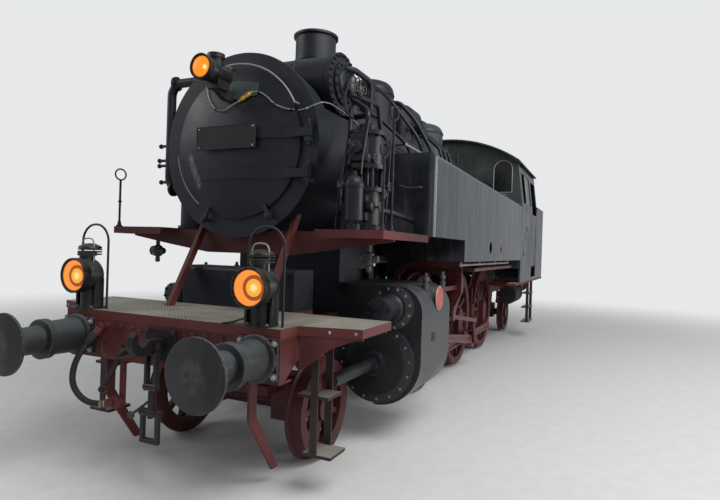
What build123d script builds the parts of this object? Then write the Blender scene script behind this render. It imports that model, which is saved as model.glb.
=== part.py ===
from build123d import *
import math
import os

os.makedirs("parts", exist_ok=True)

# All sizes are millimetres. X runs forward, Y to the engine's left, Z up from the lowest point of the
# wheel flanges.
# Heights of the engine are counted from the rail head, which lies one flange depth higher.
FLANGE_DEPTH = 28
RAIL = FLANGE_DEPTH

# Clearances: seats of curved faces, turning pins, parts that move past each other.
SEAT = 0.3
PIN_GAP = 0.08
PASS_GAP = 10

# Length and wheels
BEAM_FACE = 5600
BUFFER_LENGTH = 650
COUPLED_PITCH = 1850
CARRYING_X = 4500
COUPLED_R = 750
CARRYING_R = 425
TYRE_BACK = 680
TYRE_WIDTH = 140
TYRE_THICK = 70
AXLE_R = 90
CARRYING_AXLE_R = 75
HUB_BACK = 640
HUB_FACE = 862
COUPLED_SPOKES = 14
CARRYING_SPOKES = 9
AXLE_Z = RAIL + COUPLED_R
CARRYING_Z = RAIL + CARRYING_R

# Motion
THROW = 330
PIN_R = 58
ROD_IN = 872
ROD_THICK = 66
ROD_EYE_R = 112
CONROD_IN = 1005
CONROD_THICK = 70
CONROD_LENGTH = 2300
CROSSHEAD_PIN_R = 45
CHEEK_THICK = 35
LEFT_CRANK = -90
RIGHT_CRANK = 180

# Frame bars
FRAME_Y = 570
BAR_THICK = 70
FRAME_TOP = RAIL + 1180
FRAME_LOW = RAIL + 520
FRAME_RAISED = RAIL + 920
FRAME_RAISE_X = 3950
BEAM_Z = (RAIL + 880, RAIL + 1210)
BEAM_THICK = 40
BEAM_HALF = 1045

# Cylinders
CYLINDER_Y = CONROD_IN + CONROD_THICK / 2
CYLINDER_X = (2990, 3920)
CYLINDER_OUT = 1480
COVER_R = 380
VALVE_Y = 1190
VALVE_Z = RAIL + 1270
VALVE_R = 205
PISTON_ROD_R = 40
GUIDE_X = (1540, 2880)
GUIDE_Z = (RAIL + 1000, RAIL + 1100)
GUIDE_HALF = 45

# Boiler and smokebox
BOILER_Z = RAIL + 2696
BOILER_R = 790
BARREL_FRONT = 2960
BOILER_BACK = -2150
SMOKEBOX_FRONT = 4735
SMOKEBOX_WALL = 16
RING_R = 818
RING_THICK = 34
DOOR_R = 655
DOOR_DISH = 130
DOOR_WALL = 12
CHIMNEY_X = 3458
CHIMNEY_TOP = RAIL + 4142
CHIMNEY_R = 222
CHIMNEY_LIP_R = 246
CHIMNEY_BORE_R = 190
CHIMNEY_FOOT_R = 400
HEATER_X = 4200
HEATER_Z = RAIL + 3330
HEATER_R = 265
HEATER_HALF = 700
STEAM_DOME_X = 1950
SAND_DOME_X = 850
REAR_DOME_X = -400

# Tanks, cab and bunker
SIDE_Y = 1500
TANK_IN = 850
TANK_TOP = RAIL + 2760
TANK_LOW = RAIL + 1700
TANK_FRONT_LOW = RAIL + 1950
TANK_STEP_X = 2480
TANK_FRONT = 3700
CAB_FRONT = -1900
CAB_BACK = -4250
CAB_WALL = 30
CAB_LOW = RAIL + 1270
CAB_FLOOR = RAIL + 1560
EAVE_Y = 1400
EAVE_Z = RAIL + 3575
CROWN_Z = RAIL + 4045
ROOF_THICK = 30
BUNKER_BACK = -5560
BUNKER_TOP = RAIL + 2900
DOORWAY_X = (-4150, -3450)
DOORWAY_TOP = RAIL + 3380
SIDE_WINDOW_X = (-3260, -2160)
WINDOW_Z = (RAIL + 2820, RAIL + 3400)

# Platforms
PLATFORM_TOP = RAIL + 1256
PLATFORM_PLATE = 12
EDGE_DEEP = 66
BOARD_TOP = RAIL + 1960
BOARD_FRONT = 4826
BOARD_IN = 835
BOARD_OUT = 1444
BOARD_PLATE = 10
BOARD_LIP = 14
SUPPORT_X = (4540, 4576)


def block(x, y, z, mode=Mode.ADD):
    """Box between a low and a high value on each axis."""
    with Locations(((x[0] + x[1]) / 2, (y[0] + y[1]) / 2, (z[0] + z[1]) / 2)):
        return Box(x[1] - x[0], y[1] - y[0], z[1] - z[0], mode=mode)


def rod(start, end, radius, mode=Mode.ADD):
    """Round bar from one point to another."""
    way = Vector(*end) - Vector(*start)
    with BuildSketch(Plane(origin=start, z_dir=way)) as section:
        Circle(radius)
    return extrude(section.sketch, amount=way.length, mode=mode)


def pipe(points, bend, radius, mode=Mode.ADD):
    """Round pipe along straight runs joined by bends."""
    with BuildLine() as route:
        FilletPolyline(*points, radius=bend)
    with BuildSketch(Plane(origin=route.line @ 0, z_dir=route.line % 0)) as section:
        Circle(radius)
    return sweep(section.sketch, path=route.wire(), mode=mode)


def column(x, y, base, stages):
    """Upright stack of round stages, each given by its low and high end above the base and its radius."""
    for low, high, radius in stages:
        rod((x, y, base + low), (x, y, base + high), radius)


def both(low, high, side):
    """Range of Y on the side given, low value first."""
    return tuple(sorted((side * low, side * high)))


def side_plane(y):
    """Upright plane along the engine, where sketches use X and Z."""
    return Plane(origin=(0, y, 0), x_dir=(1, 0, 0), z_dir=(0, -1, 0))


def side_plate(points, y, mode=Mode.ADD, corner=0):
    """Plate with an outline of X and Z points between two values of Y."""
    with BuildSketch(side_plane((y[0] + y[1]) / 2)) as outline:
        with BuildLine():
            Polyline(*points, close=True)
        make_face()
        if corner:
            fillet(outline.vertices(), corner)
    return extrude(outline.sketch, amount=abs(y[1] - y[0]) / 2, both=True, mode=mode)


def cross_plate(points, x, mode=Mode.ADD, corner=0):
    """Plate with an outline of Y and Z points between two values of X."""
    with BuildSketch(Plane.YZ.offset(x[0])) as outline:
        with BuildLine():
            Polyline(*points, close=True)
        make_face()
        if corner:
            fillet(outline.vertices(), corner)
    return extrude(outline.sketch, amount=x[1] - x[0], mode=mode)


def flat_plate(points, z, mode=Mode.ADD, corner=0):
    """Plate with an outline of X and Y points between two heights."""
    with BuildSketch(Plane.XY.offset(z[0])) as outline:
        with BuildLine():
            Polyline(*points, close=True)
        make_face()
        if corner:
            fillet(outline.vertices(), corner)
    return extrude(outline.sketch, amount=z[1] - z[0], mode=mode)


def turned(profile, axis_x, y, z, mode=Mode.ADD):
    """Body of revolution about a line along X. The profile holds (X, radius) points, closed on the line."""
    with BuildSketch(Plane(origin=(axis_x, y, z), x_dir=(1, 0, 0), z_dir=(0, -1, 0))) as half:
        with BuildLine():
            Polyline(*profile, close=True)
        make_face()
    return revolve(half.sketch, axis=Axis((axis_x, y, z), (1, 0, 0)), mode=mode)


def crank_offset(angle, radius=THROW):
    """X and Z of a crank, from its axle's centre, at an angle counted from forward up."""
    return radius * math.cos(math.radians(angle)), radius * math.sin(math.radians(angle))


def crown(edge_r, edge_z, top_z):
    """Middle point of a round cap in an upright half section, whose arc is centred on the axis."""
    rise = top_z - edge_z
    arc_r = (edge_r**2 + rise**2) / (2 * rise)
    return edge_r / 2, top_z - arc_r + math.sqrt(arc_r**2 - (edge_r / 2) ** 2)


def save(part, name):
    part.label = name
    export_step(part, f"parts/{name}.step")


# Wheelsets. Each is an axle with two spoked wheels, flanged tyres and, on the coupled ones, two crank pins.


def wheel(side, x, z, tread, spokes, hub, boss):
    """Spoked wheel on one side. boss is the crank's X and Z offset, or None."""
    tyre_y = (TYRE_BACK, TYRE_BACK + TYRE_WIDTH)
    rim_in = tread - TYRE_THICK - 45
    profile = [
        (tyre_y[0] + 12, rim_in),
        (tyre_y[1] - 12, rim_in),
        (tyre_y[1], tread - TYRE_THICK),
        (tyre_y[1], tread - 8),
        (tyre_y[0] + 36, tread),
        (tyre_y[0] + 24, tread + FLANGE_DEPTH),
        (tyre_y[0] + 8, tread + FLANGE_DEPTH),
        (tyre_y[0], tread - TYRE_THICK),
    ]
    with BuildSketch(Plane(origin=(x, 0, z), x_dir=(0, 1, 0), z_dir=(1, 0, 0))) as tyre:
        with BuildLine():
            Polyline(*[(side * y, r) for y, r in profile], close=True)
        make_face()
    revolve(tyre.sketch, axis=Axis((x, 0, z), (0, 1, 0)))
    hub_face = HUB_FACE if boss else tyre_y[1] + 10
    rod((x, side * HUB_BACK, z), (x, side * hub_face, z), hub)
    spoke_y = TYRE_BACK + TYRE_WIDTH / 2
    root = hub * 0.8
    with BuildSketch(side_plane(side * spoke_y)) as star:
        with Locations((x, z)):
            with PolarLocations(0, spokes):
                Polygon(
                    (root, -hub * 0.24),
                    (rim_in + 6, -24),
                    (rim_in + 6, 24),
                    (root, hub * 0.24),
                    align=None,
                )
    extrude(star.sketch, amount=26, both=True)
    if boss:
        bx, bz = x + boss[0], z + boss[1]
        with BuildSketch(side_plane(side * (spoke_y + HUB_FACE) / 2)) as web:
            with BuildLine():
                along = Vector(boss[0], boss[1]).normalized()
                across = Vector(-along.Y, along.X)
                corners = [(x, z), (bx, bz), (bx, bz), (x, z)]
                widths = [hub - 10, PIN_R + 44, -PIN_R - 44, 10 - hub]
                Polyline(
                    *[(c[0] + across.X * w, c[1] + across.Y * w) for c, w in zip(corners, widths)],
                    close=True,
                )
            make_face()
            with Locations((bx, bz)):
                Circle(PIN_R + 44)
        extrude(web.sketch, amount=(HUB_FACE - spoke_y) / 2, both=True)


def balance_weight(side, x, z, angle, spread):
    """Crescent between the spokes, opposite the crank."""
    outer = COUPLED_R - TYRE_THICK - 40
    chord = outer * math.cos(math.radians(spread))
    ends = [angle - spread, angle + spread]
    with BuildSketch(side_plane(side * (TYRE_BACK + TYRE_WIDTH / 2))) as crescent:
        with BuildLine():
            a, b = [crank_offset(e, outer) for e in ends]
            top = crank_offset(angle, outer)
            inner = crank_offset(angle, chord * 0.88)
            ThreePointArc((x + a[0], z + a[1]), (x + top[0], z + top[1]), (x + b[0], z + b[1]))
            ThreePointArc((x + b[0], z + b[1]), (x + inner[0], z + inner[1]), (x + a[0], z + a[1]))
        make_face()
    extrude(crescent.sketch, amount=TYRE_WIDTH / 2 - 14, both=True)


def coupled_wheelset(x, pin_end, spread):
    """Axle, two wheels, their balance weights and their crank pins."""
    with BuildPart() as wheelset:
        for side, crank in ((1, LEFT_CRANK), (-1, RIGHT_CRANK)):
            offset = crank_offset(crank)
            wheel(side, x, AXLE_Z, COUPLED_R, COUPLED_SPOKES, 150, offset)
            balance_weight(side, x, AXLE_Z, crank + 180, spread)
            pin = (x + offset[0], AXLE_Z + offset[1])
            rod((pin[0], side * (HUB_FACE - 20), pin[1]), (pin[0], side * pin_end, pin[1]), PIN_R)
        rod((x, -HUB_BACK, AXLE_Z), (x, HUB_BACK, AXLE_Z), AXLE_R)
    return wheelset.part


ROD_OUT = ROD_IN + ROD_THICK
RETURN_IN = CONROD_IN + CONROD_THICK + PASS_GAP
RETURN_THICK = 30
ECCENTRIC_THROW = 180


def return_crank(side, crank):
    """Arm from the main crank pin's place to the eccentric pin, a quarter turn behind."""
    main = crank_offset(crank)
    small = crank_offset(crank + 90, ECCENTRIC_THROW)
    middle = ((main[0] + small[0]) / 2, AXLE_Z + (main[1] + small[1]) / 2)
    with BuildSketch(side_plane(side * (RETURN_IN + RETURN_THICK / 2))) as arm:
        SlotCenterPoint(middle, (small[0], AXLE_Z + small[1]), 130)
    extrude(arm.sketch, amount=RETURN_THICK / 2, both=True)


save(coupled_wheelset(COUPLED_PITCH, ROD_OUT + 6, 26), "driver_front")
save(coupled_wheelset(-COUPLED_PITCH, ROD_OUT + 6, 26), "driver_rear")
with BuildPart() as driver_main:
    add(coupled_wheelset(0, CONROD_IN - PASS_GAP, 42))
    return_crank(1, LEFT_CRANK)
    return_crank(-1, RIGHT_CRANK)
save(driver_main.part, "driver_main")

# Trucks. A triangular frame turns about a pivot pin and carries one spoked wheelset.
TRUCK_PIVOT_X = 3050
TRUCK_ARM_Z = (RAIL + 540, RAIL + 620)
TRUCK_HALF = 430
PIVOT_R = 45
PIVOT_BOSS_R = 110
BEARING_HALF = 100


def carrying_wheelset(x):
    with BuildPart() as wheelset:
        for side in (1, -1):
            wheel(side, x, CARRYING_Z, CARRYING_R, CARRYING_SPOKES, 115, None)
        rod((x, -HUB_BACK, CARRYING_Z), (x, HUB_BACK, CARRYING_Z), CARRYING_AXLE_R)
    return wheelset.part


def truck(end):
    """Frame with its pivot boss and two axle boxes. end is 1 in front and -1 behind."""
    pivot_x = end * TRUCK_PIVOT_X
    axle_x = end * CARRYING_X
    with BuildPart() as frame:
        for side in (1, -1):
            arm = [
                (pivot_x, side * (PIVOT_BOSS_R - 5)),
                (axle_x - end * 330, side * TRUCK_HALF),
                (axle_x + end * 330, side * TRUCK_HALF),
                (axle_x + end * 330, side * (TRUCK_HALF - 90)),
                (axle_x - end * 280, side * (TRUCK_HALF - 90)),
                (pivot_x, side * 20),
            ]
            flat_plate(arm, TRUCK_ARM_Z)
            box_y = both(TRUCK_HALF - 80, TRUCK_HALF + 110, side)
            block((axle_x - 150, axle_x + 150), box_y, (CARRYING_Z - 130, TRUCK_ARM_Z[1]))
            spring = [(axle_x - 330, 0), (axle_x, 70), (axle_x + 330, 0), (axle_x, 20)]
            side_plate(
                [(sx, TRUCK_ARM_Z[1] + sz) for sx, sz in spring], both(TRUCK_HALF - 80, TRUCK_HALF, side)
            )
        block((axle_x - 110, axle_x + 110), (-TRUCK_HALF, TRUCK_HALF), TRUCK_ARM_Z)
        block((axle_x - 330, axle_x - 290), (-TRUCK_HALF, TRUCK_HALF), TRUCK_ARM_Z)
        block((axle_x + 290, axle_x + 330), (-TRUCK_HALF, TRUCK_HALF), TRUCK_ARM_Z)
        rod((axle_x, 0, TRUCK_ARM_Z[1]), (axle_x, 0, FRAME_RAISED - PASS_GAP), 150)
        rod((pivot_x, 0, TRUCK_ARM_Z[0]), (pivot_x, 0, TRUCK_ARM_Z[1]), PIVOT_BOSS_R)
        rod((pivot_x, 0, TRUCK_ARM_Z[0]), (pivot_x, 0, TRUCK_ARM_Z[1]), PIVOT_R + PIN_GAP, Mode.SUBTRACT)
        bore = CARRYING_AXLE_R + PIN_GAP
        rod((axle_x, -HUB_BACK, CARRYING_Z), (axle_x, HUB_BACK, CARRYING_Z), bore, Mode.SUBTRACT)
    return frame.part


save(carrying_wheelset(CARRYING_X), "lead_wheelset")
save(carrying_wheelset(-CARRYING_X), "trail_wheelset")
save(truck(1), "lead_truck")
save(truck(-1), "trail_truck")

# Rods and crossheads


def coupling_rod(side, crank):
    offset = crank_offset(crank)
    pins = [(x + offset[0], AXLE_Z + offset[1]) for x in (-COUPLED_PITCH, 0, COUPLED_PITCH)]
    y = both(ROD_IN, ROD_OUT, side)
    with BuildPart() as bar:
        with BuildSketch(side_plane((y[0] + y[1]) / 2)) as outline:
            with Locations(*pins):
                Circle(ROD_EYE_R)
            with Locations(pins[1]):
                Rectangle(2 * COUPLED_PITCH, 118)
        extrude(outline.sketch, amount=ROD_THICK / 2, both=True)
        flute_y = both(ROD_OUT - 16, ROD_OUT, side)
        for a, b in zip(pins, pins[1:]):
            x = (a[0] + ROD_EYE_R + 70, b[0] - ROD_EYE_R - 70)
            block(x, flute_y, (a[1] - 34, a[1] + 34), Mode.SUBTRACT)
        for px, pz in pins:
            rod((px, y[0], pz), (px, y[1], pz), PIN_R + PIN_GAP, Mode.SUBTRACT)
    return bar.part


def crosshead_x(crank):
    """X of the crosshead pin for a crank angle."""
    x, z = crank_offset(crank)
    return x + math.sqrt(CONROD_LENGTH**2 - z**2)


def connecting_rod(side, crank):
    big = Vector(crank_offset(crank)[0], AXLE_Z + crank_offset(crank)[1])
    small = Vector(crosshead_x(crank), AXLE_Z)
    along = (small - big).normalized()
    across = Vector(-along.Y, along.X)
    y = both(CONROD_IN, CONROD_IN + CONROD_THICK, side)

    def tapered(start, end, at_start, at_end):
        a = big + along * start
        b = small - along * end
        corners = [
            a + across * at_start, b + across * at_end, b - across * at_end, a - across * at_start
        ]
        return [(c.X, c.Y) for c in corners]

    with BuildPart() as bar:
        side_plate(tapered(0, 0, 64, 46), y)
        rod((big.X, y[0], big.Y), (big.X, y[1], big.Y), 125)
        rod((small.X, y[0], small.Y), (small.X, y[1], small.Y), 80)
        side_plate(
            tapered(220, 170, 34, 22),
            both(CONROD_IN + CONROD_THICK - 18, CONROD_IN + CONROD_THICK, side),
            Mode.SUBTRACT,
        )
        rod((big.X, y[0], big.Y), (big.X, y[1], big.Y), PIN_R + 4, Mode.SUBTRACT)
        rod((small.X, y[0], small.Y), (small.X, y[1], small.Y), CROSSHEAD_PIN_R + PIN_GAP, Mode.SUBTRACT)
    return bar.part


SIDE_PLAY = 2
GUIDE_PLAY = 1
CHEEK_IN = CONROD_IN - SIDE_PLAY
CHEEK_OUT = CONROD_IN + CONROD_THICK + SIDE_PLAY
SLIPPER_HALF = 180
SLIPPER_THICK = 50
SHANK_X = 190
PISTON_ROD_REACH = 1010
DROP_ARM = 215


def crosshead(side, crank):
    """Two cheeks on the rod's pin, hung on the guide bar by slipper and keeper, and the piston rod ahead."""
    x = crosshead_x(crank)
    z = AXLE_Z
    out = (CHEEK_IN - CHEEK_THICK, CHEEK_OUT + CHEEK_THICK)
    with BuildPart() as head:
        slipper_z = (GUIDE_Z[0] - GUIDE_PLAY - SLIPPER_THICK, GUIDE_Z[0] - GUIDE_PLAY)
        keeper_z = (GUIDE_Z[1] + GUIDE_PLAY, GUIDE_Z[1] + GUIDE_PLAY + 35)
        cheek = [
            (x - 100, z - 95),
            (x + 130, z - 95),
            (x + SHANK_X, z - 60),
            (x + SHANK_X, z + 60),
            (x + 140, slipper_z[1]),
            (x - 140, slipper_z[1]),
        ]
        for y in ((CHEEK_IN - CHEEK_THICK, CHEEK_IN), (CHEEK_OUT, CHEEK_OUT + CHEEK_THICK)):
            side_plate(cheek, both(*y, side))
        slipper_x = (x - SLIPPER_HALF, x + SLIPPER_HALF)
        block(slipper_x, both(*out, side), slipper_z)
        block(slipper_x, both(*out, side), keeper_z)
        wall_z = (slipper_z[0], keeper_z[1])
        block(slipper_x, both(out[0], CYLINDER_Y - GUIDE_HALF - SIDE_PLAY, side), wall_z)
        block(slipper_x, both(CYLINDER_Y + GUIDE_HALF + SIDE_PLAY, out[1], side), wall_z)
        block((x + 115, x + SHANK_X), both(*out, side), (z - 60, z + 60))
        rod((x, side * (out[0] - 6), z), (x, side * (out[1] + 3), z), CROSSHEAD_PIN_R)
        rod(
            (x + SHANK_X - 20, side * CYLINDER_Y, z),
            (x + PISTON_ROD_REACH, side * CYLINDER_Y, z),
            PISTON_ROD_R,
        )
        drop = [(x - 60, z - 60), (x + 60, z - 60), (x + 30, z - DROP_ARM), (x - 30, z - DROP_ARM)]
        side_plate(drop, both(CHEEK_OUT, CHEEK_OUT + CHEEK_THICK, side))
    return head.part


for side, crank, name in ((1, LEFT_CRANK, "left"), (-1, RIGHT_CRANK, "right")):
    save(coupling_rod(side, crank), f"coupling_rod_{name}")
    save(connecting_rod(side, crank), f"connecting_rod_{name}")
    save(crosshead(side, crank), f"crosshead_{name}")

# Cylinders, guide bars and valve gear
COVER_THICK = 40
GLAND_R = 90
GUIDE_END_X = CYLINDER_X[0] - COVER_THICK
PISTON_BORE_END = 3700
TAIL_ROD_END = 4825
FRAME_OUT = FRAME_Y + BAR_THICK / 2
FRAME_IN = FRAME_Y - BAR_THICK / 2
BRACKET_X = (GUIDE_X[0] - 40, GUIDE_X[0])
CASING_TOP = RAIL + 1480


def cylinder_block(side):
    """Casing round the cylinder and its valve chest, with covers, glands and the tail rod's tube."""
    cy = side * CYLINDER_Y
    out = side * CYLINDER_OUT
    radius = CYLINDER_OUT - CYLINDER_Y
    low = AXLE_Z + 30
    with BuildPart() as cylinder:
        with BuildSketch(Plane.YZ.offset(CYLINDER_X[0])) as casing:
            with BuildLine():
                Polyline(
                    (cy, low - radius),
                    (side * FRAME_OUT, AXLE_Z - 150),
                    (side * FRAME_OUT, CASING_TOP),
                    (side * 1230, CASING_TOP),
                )
                slant = math.sqrt(0.5)
                corner = CYLINDER_OUT - 1230
                ThreePointArc(
                    (side * 1230, CASING_TOP),
                    (side * (1230 + corner * slant), CASING_TOP - corner * (1 - slant)),
                    (out, CASING_TOP - corner),
                )
                Line((out, CASING_TOP - corner), (out, low))
                ThreePointArc(
                    (out, low),
                    (side * (CYLINDER_Y + radius * slant), low - radius * slant),
                    (cy, low - radius),
                )
            make_face()
        extrude(casing.sketch, amount=CYLINDER_X[1] - CYLINDER_X[0])
        rear, front = CYLINDER_X
        turned(
            [
                (front, 0),
                (front, COVER_R),
                (front + COVER_THICK, COVER_R),
                (front + 65, 300),
                (front + 65, 120),
                (front + 123, 110),
                (front + 123, 58),
                (TAIL_ROD_END, 52),
                (TAIL_ROD_END, 0),
            ],
            0,
            cy,
            AXLE_Z,
        )
        turned(
            [
                (rear, 0),
                (rear, COVER_R - 30),
                (rear - COVER_THICK, COVER_R - 30),
                (rear - COVER_THICK, GLAND_R + 20),
                (rear - 110, GLAND_R),
                (rear - 110, 0),
            ],
            0,
            cy,
            AXLE_Z,
        )
        vy = side * VALVE_Y
        turned(
            [(front, 0), (front, VALVE_R), (front + 35, VALVE_R), (front + 60, 150), (front + 60, 0)],
            0,
            vy,
            VALVE_Z,
        )
        turned(
            [
                (rear, 0),
                (rear, VALVE_R - 25),
                (rear - COVER_THICK, VALVE_R - 25),
                (rear - COVER_THICK, 0),
            ],
            0,
            vy,
            VALVE_Z,
        )
        bore = PISTON_ROD_R + PIN_GAP
        rod((rear - 120, cy, AXLE_Z), (PISTON_BORE_END, cy, AXLE_Z), bore, Mode.SUBTRACT)
    return cylinder.part


def guide(side):
    """Single guide bar, and the bracket that reaches over the wheel from the frame to its rear end."""
    with BuildPart(mode=Mode.PRIVATE) as bar:
        block(
            (GUIDE_X[0], GUIDE_END_X),
            both(CYLINDER_Y - GUIDE_HALF, CYLINDER_Y + GUIDE_HALF, side),
            GUIDE_Z,
        )
        arch = [
            (FRAME_IN, FRAME_TOP),
            (FRAME_OUT, FRAME_TOP),
            (FRAME_OUT, RAIL + 1500),
            (965, RAIL + 1500),
            (965, GUIDE_Z[0]),
            (1120, GUIDE_Z[0]),
            (1240, RAIL + 1250),
            (1240, RAIL + 1600),
            (FRAME_IN, RAIL + 1600),
        ]
        cross_plate([(side * y, z) for y, z in arch], BRACKET_X)
    return bar.part


LINK_PIVOT = (1330, RAIL + 1340)
LINK_FOOT = 440
LINK_HEAD = 260
ECCENTRIC_ROD = 1340
GEAR_IN = RETURN_IN + RETURN_THICK + 6
GEAR_THICK = 26
LEVER_TOP = (2700, RAIL + 1345)
REVERSING_X = (-1480, 1470)
REVERSING_Y = 1390
REVERSING_Z = (RAIL + 1560, RAIL + 1600)
UNION_LINK = 370


def meeting(a, radius_a, b, radius_b):
    """Crossing, lower in Z, of two circles in the side view."""
    dx, dz = b[0] - a[0], b[1] - a[1]
    gap = math.hypot(dx, dz)
    along = (radius_a**2 - radius_b**2 + gap**2) / (2 * gap)
    off = math.sqrt(radius_a**2 - along**2)
    foot = (a[0] + along * dx / gap, a[1] + along * dz / gap)
    crossings = [(foot[0] + s * off * dz / gap, foot[1] - s * off * dx / gap) for s in (1, -1)]
    return min(crossings, key=lambda point: point[1])


def bar_between(a, b, y, width, eye):
    """Flat bar with a round eye at each end."""
    with BuildSketch(side_plane((y[0] + y[1]) / 2)) as outline:
        middle = ((a[0] + b[0]) / 2, (a[1] + b[1]) / 2)
        SlotCenterPoint(middle, b, width)
        with Locations(a, b):
            Circle(eye)
    extrude(outline.sketch, amount=(y[1] - y[0]) / 2, both=True)


def valve_gear(side, crank):
    """Eccentric rod, slotted link, radius rod, combination lever and union link, as the cranks stand."""
    inner = both(GEAR_IN, GEAR_IN + GEAR_THICK, side)
    outer = both(GEAR_IN + GEAR_THICK, GEAR_IN + 2 * GEAR_THICK, side)
    small = crank_offset(crank + 90, ECCENTRIC_THROW)
    pin = (small[0], AXLE_Z + small[1])
    foot = meeting(pin, ECCENTRIC_ROD, LINK_PIVOT, LINK_FOOT)
    lean = ((LINK_PIVOT[0] - foot[0]) / LINK_FOOT, (LINK_PIVOT[1] - foot[1]) / LINK_FOOT)
    head = (LINK_PIVOT[0] + lean[0] * LINK_HEAD, LINK_PIVOT[1] + lean[1] * LINK_HEAD)
    x = crosshead_x(crank)
    lever_low = (x + UNION_LINK, AXLE_Z - DROP_ARM + 30)
    with BuildPart() as gear:
        add(guide(side))
        bar_between(pin, foot, inner, 54, 52)
        bar_between(foot, head, inner, 120, 45)
        bar_between(LINK_PIVOT, LEVER_TOP, outer, 50, 40)
        bar_between(lever_low, LEVER_TOP, outer, 52, 36)
        bar_between((x, AXLE_Z - DROP_ARM + 30), lever_low, inner, 44, 34)
        spindle_x = LEVER_TOP[0]
        block(
            (spindle_x - 45, spindle_x + 45),
            both(GEAR_IN, VALVE_Y + 40, side),
            (VALVE_Z - 40, VALVE_Z + 40),
        )
        rod((spindle_x, side * VALVE_Y, VALVE_Z), (GUIDE_END_X, side * VALVE_Y, VALVE_Z), 24)
        ear_y = both(GEAR_IN + 2 * GEAR_THICK, GEAR_IN + 2 * GEAR_THICK + 24, side)
        ear = [
            (LINK_PIVOT[0] - 70, LINK_PIVOT[1] - 80),
            (BRACKET_X[0], LINK_PIVOT[1] - 80),
            (BRACKET_X[0], RAIL + 1600),
            (LINK_PIVOT[0] - 70, RAIL + 1440),
        ]
        side_plate(ear, ear_y)
        rod(
            (LINK_PIVOT[0], side * GEAR_IN, LINK_PIVOT[1]),
            (LINK_PIVOT[0], side * (GEAR_IN + 2 * GEAR_THICK + 24), LINK_PIVOT[1]),
            34,
        )
        if side > 0:
            block((REVERSING_X[0], REVERSING_X[1]), (REVERSING_Y - 10, REVERSING_Y + 10), REVERSING_Z)
            arm_x = (REVERSING_X[1] - 50, REVERSING_X[1])
            block(arm_x, (GEAR_IN + 2 * GEAR_THICK, REVERSING_Y - 10), REVERSING_Z)
    return gear.part


for side, crank, name in ((1, LEFT_CRANK, "left"), (-1, RIGHT_CRANK, "right")):
    save(cylinder_block(side), f"cylinder_{name}")
    save(valve_gear(side, crank), f"valve_gear_{name}")

# Frame, beams and draw gear
BEAM_TOP = PLATFORM_TOP - EDGE_DEEP
FIREBOX_X = (BOILER_BACK, -100)
FIREBOX_HALF = 500
FIREBOX_LOW = RAIL + 1000
ASHPAN_X = (-1640, -210)
ASHPAN_HALF = 470
ASHPAN_LOW = RAIL + 560


with BuildPart() as main_frame:
    rise = 200
    reach = BEAM_FACE - BEAM_THICK
    outline = [
        (-reach, FRAME_TOP),
        (-reach, FRAME_RAISED),
        (-FRAME_RAISE_X, FRAME_RAISED),
        (-FRAME_RAISE_X + rise, FRAME_LOW),
        (FRAME_RAISE_X - rise, FRAME_LOW),
        (FRAME_RAISE_X, FRAME_RAISED),
        (reach, FRAME_RAISED),
        (reach, FRAME_TOP),
    ]
    for side in (1, -1):
        side_plate(outline, both(FRAME_IN, FRAME_OUT, side))
        for x in (-2775, -COUPLED_PITCH / 2, COUPLED_PITCH / 2, 2560):
            for z in (RAIL + 700, RAIL + 1010):
                hole = [(x - 300, z - 80), (x + 300, z - 80), (x + 300, z + 80), (x - 300, z + 80)]
                side_plate(hole, both(FRAME_IN, FRAME_OUT, side), Mode.SUBTRACT, corner=60)
        for x in (-COUPLED_PITCH, 0, COUPLED_PITCH):
            block(
                (x - 150, x + 150),
                both(FRAME_IN - 40, FRAME_OUT + 20, side),
                (AXLE_Z - 190, AXLE_Z + 160),
            )
            block((x - 190, x + 190), both(FRAME_IN, FRAME_OUT, side), (FRAME_LOW - 50, FRAME_LOW))
        for x in (2200, COUPLED_PITCH / 2, -COUPLED_PITCH / 2):
            arm = [
                (FRAME_IN, FRAME_TOP),
                (FRAME_OUT, FRAME_TOP),
                (FRAME_OUT, RAIL + 1500),
                (700, RAIL + 1590),
                (1400, RAIL + 1650),
                (1400, TANK_LOW),
                (TANK_IN, TANK_LOW),
                (650, RAIL + 1640),
                (FRAME_IN, RAIL + 1560),
            ]
            cross_plate([(side * y, z) for y, z in arm], (x - 20, x + 20))
    half = (-FRAME_IN, FRAME_IN)
    for x in (TRUCK_PIVOT_X, -TRUCK_PIVOT_X):
        block((x - 90, x + 90), half, (RAIL + 660, RAIL + 1000))
        rod((x, 0, TRUCK_ARM_Z[0] - 20), (x, 0, RAIL + 660), PIVOT_R)
    for x in (CARRYING_X, -CARRYING_X):
        block((x - 160, x + 160), half, (FRAME_RAISED, FRAME_RAISED + 90))
    block((COUPLED_PITCH / 2 - 20, COUPLED_PITCH / 2 + 20), half, (RAIL + 640, RAIL + 1120))
    block((2440, 2480), half, (RAIL + 640, RAIL + 1120))
    block((-2480, -2440), half, (RAIL + 660, RAIL + 1120))
    for x in (-COUPLED_PITCH, 0, COUPLED_PITCH):
        rod((x, -FRAME_OUT - 30, AXLE_Z), (x, FRAME_OUT + 30, AXLE_Z), AXLE_R + PIN_GAP, Mode.SUBTRACT)
save(main_frame.part, "main_frame")


GUARD_Y = 705
GUARD_THICK = 22
FLANGE_IN = 620
FLANGE_REACH = 110
FLANGE_THICK = 16
GUSSET_REACH = 290
GUSSET_DROP = 110
RAIL_GUARD = [(5395, 980), (5480, 980), (5480, 556), (5165, 104), (5085, 104), (5395, 575)]


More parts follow.
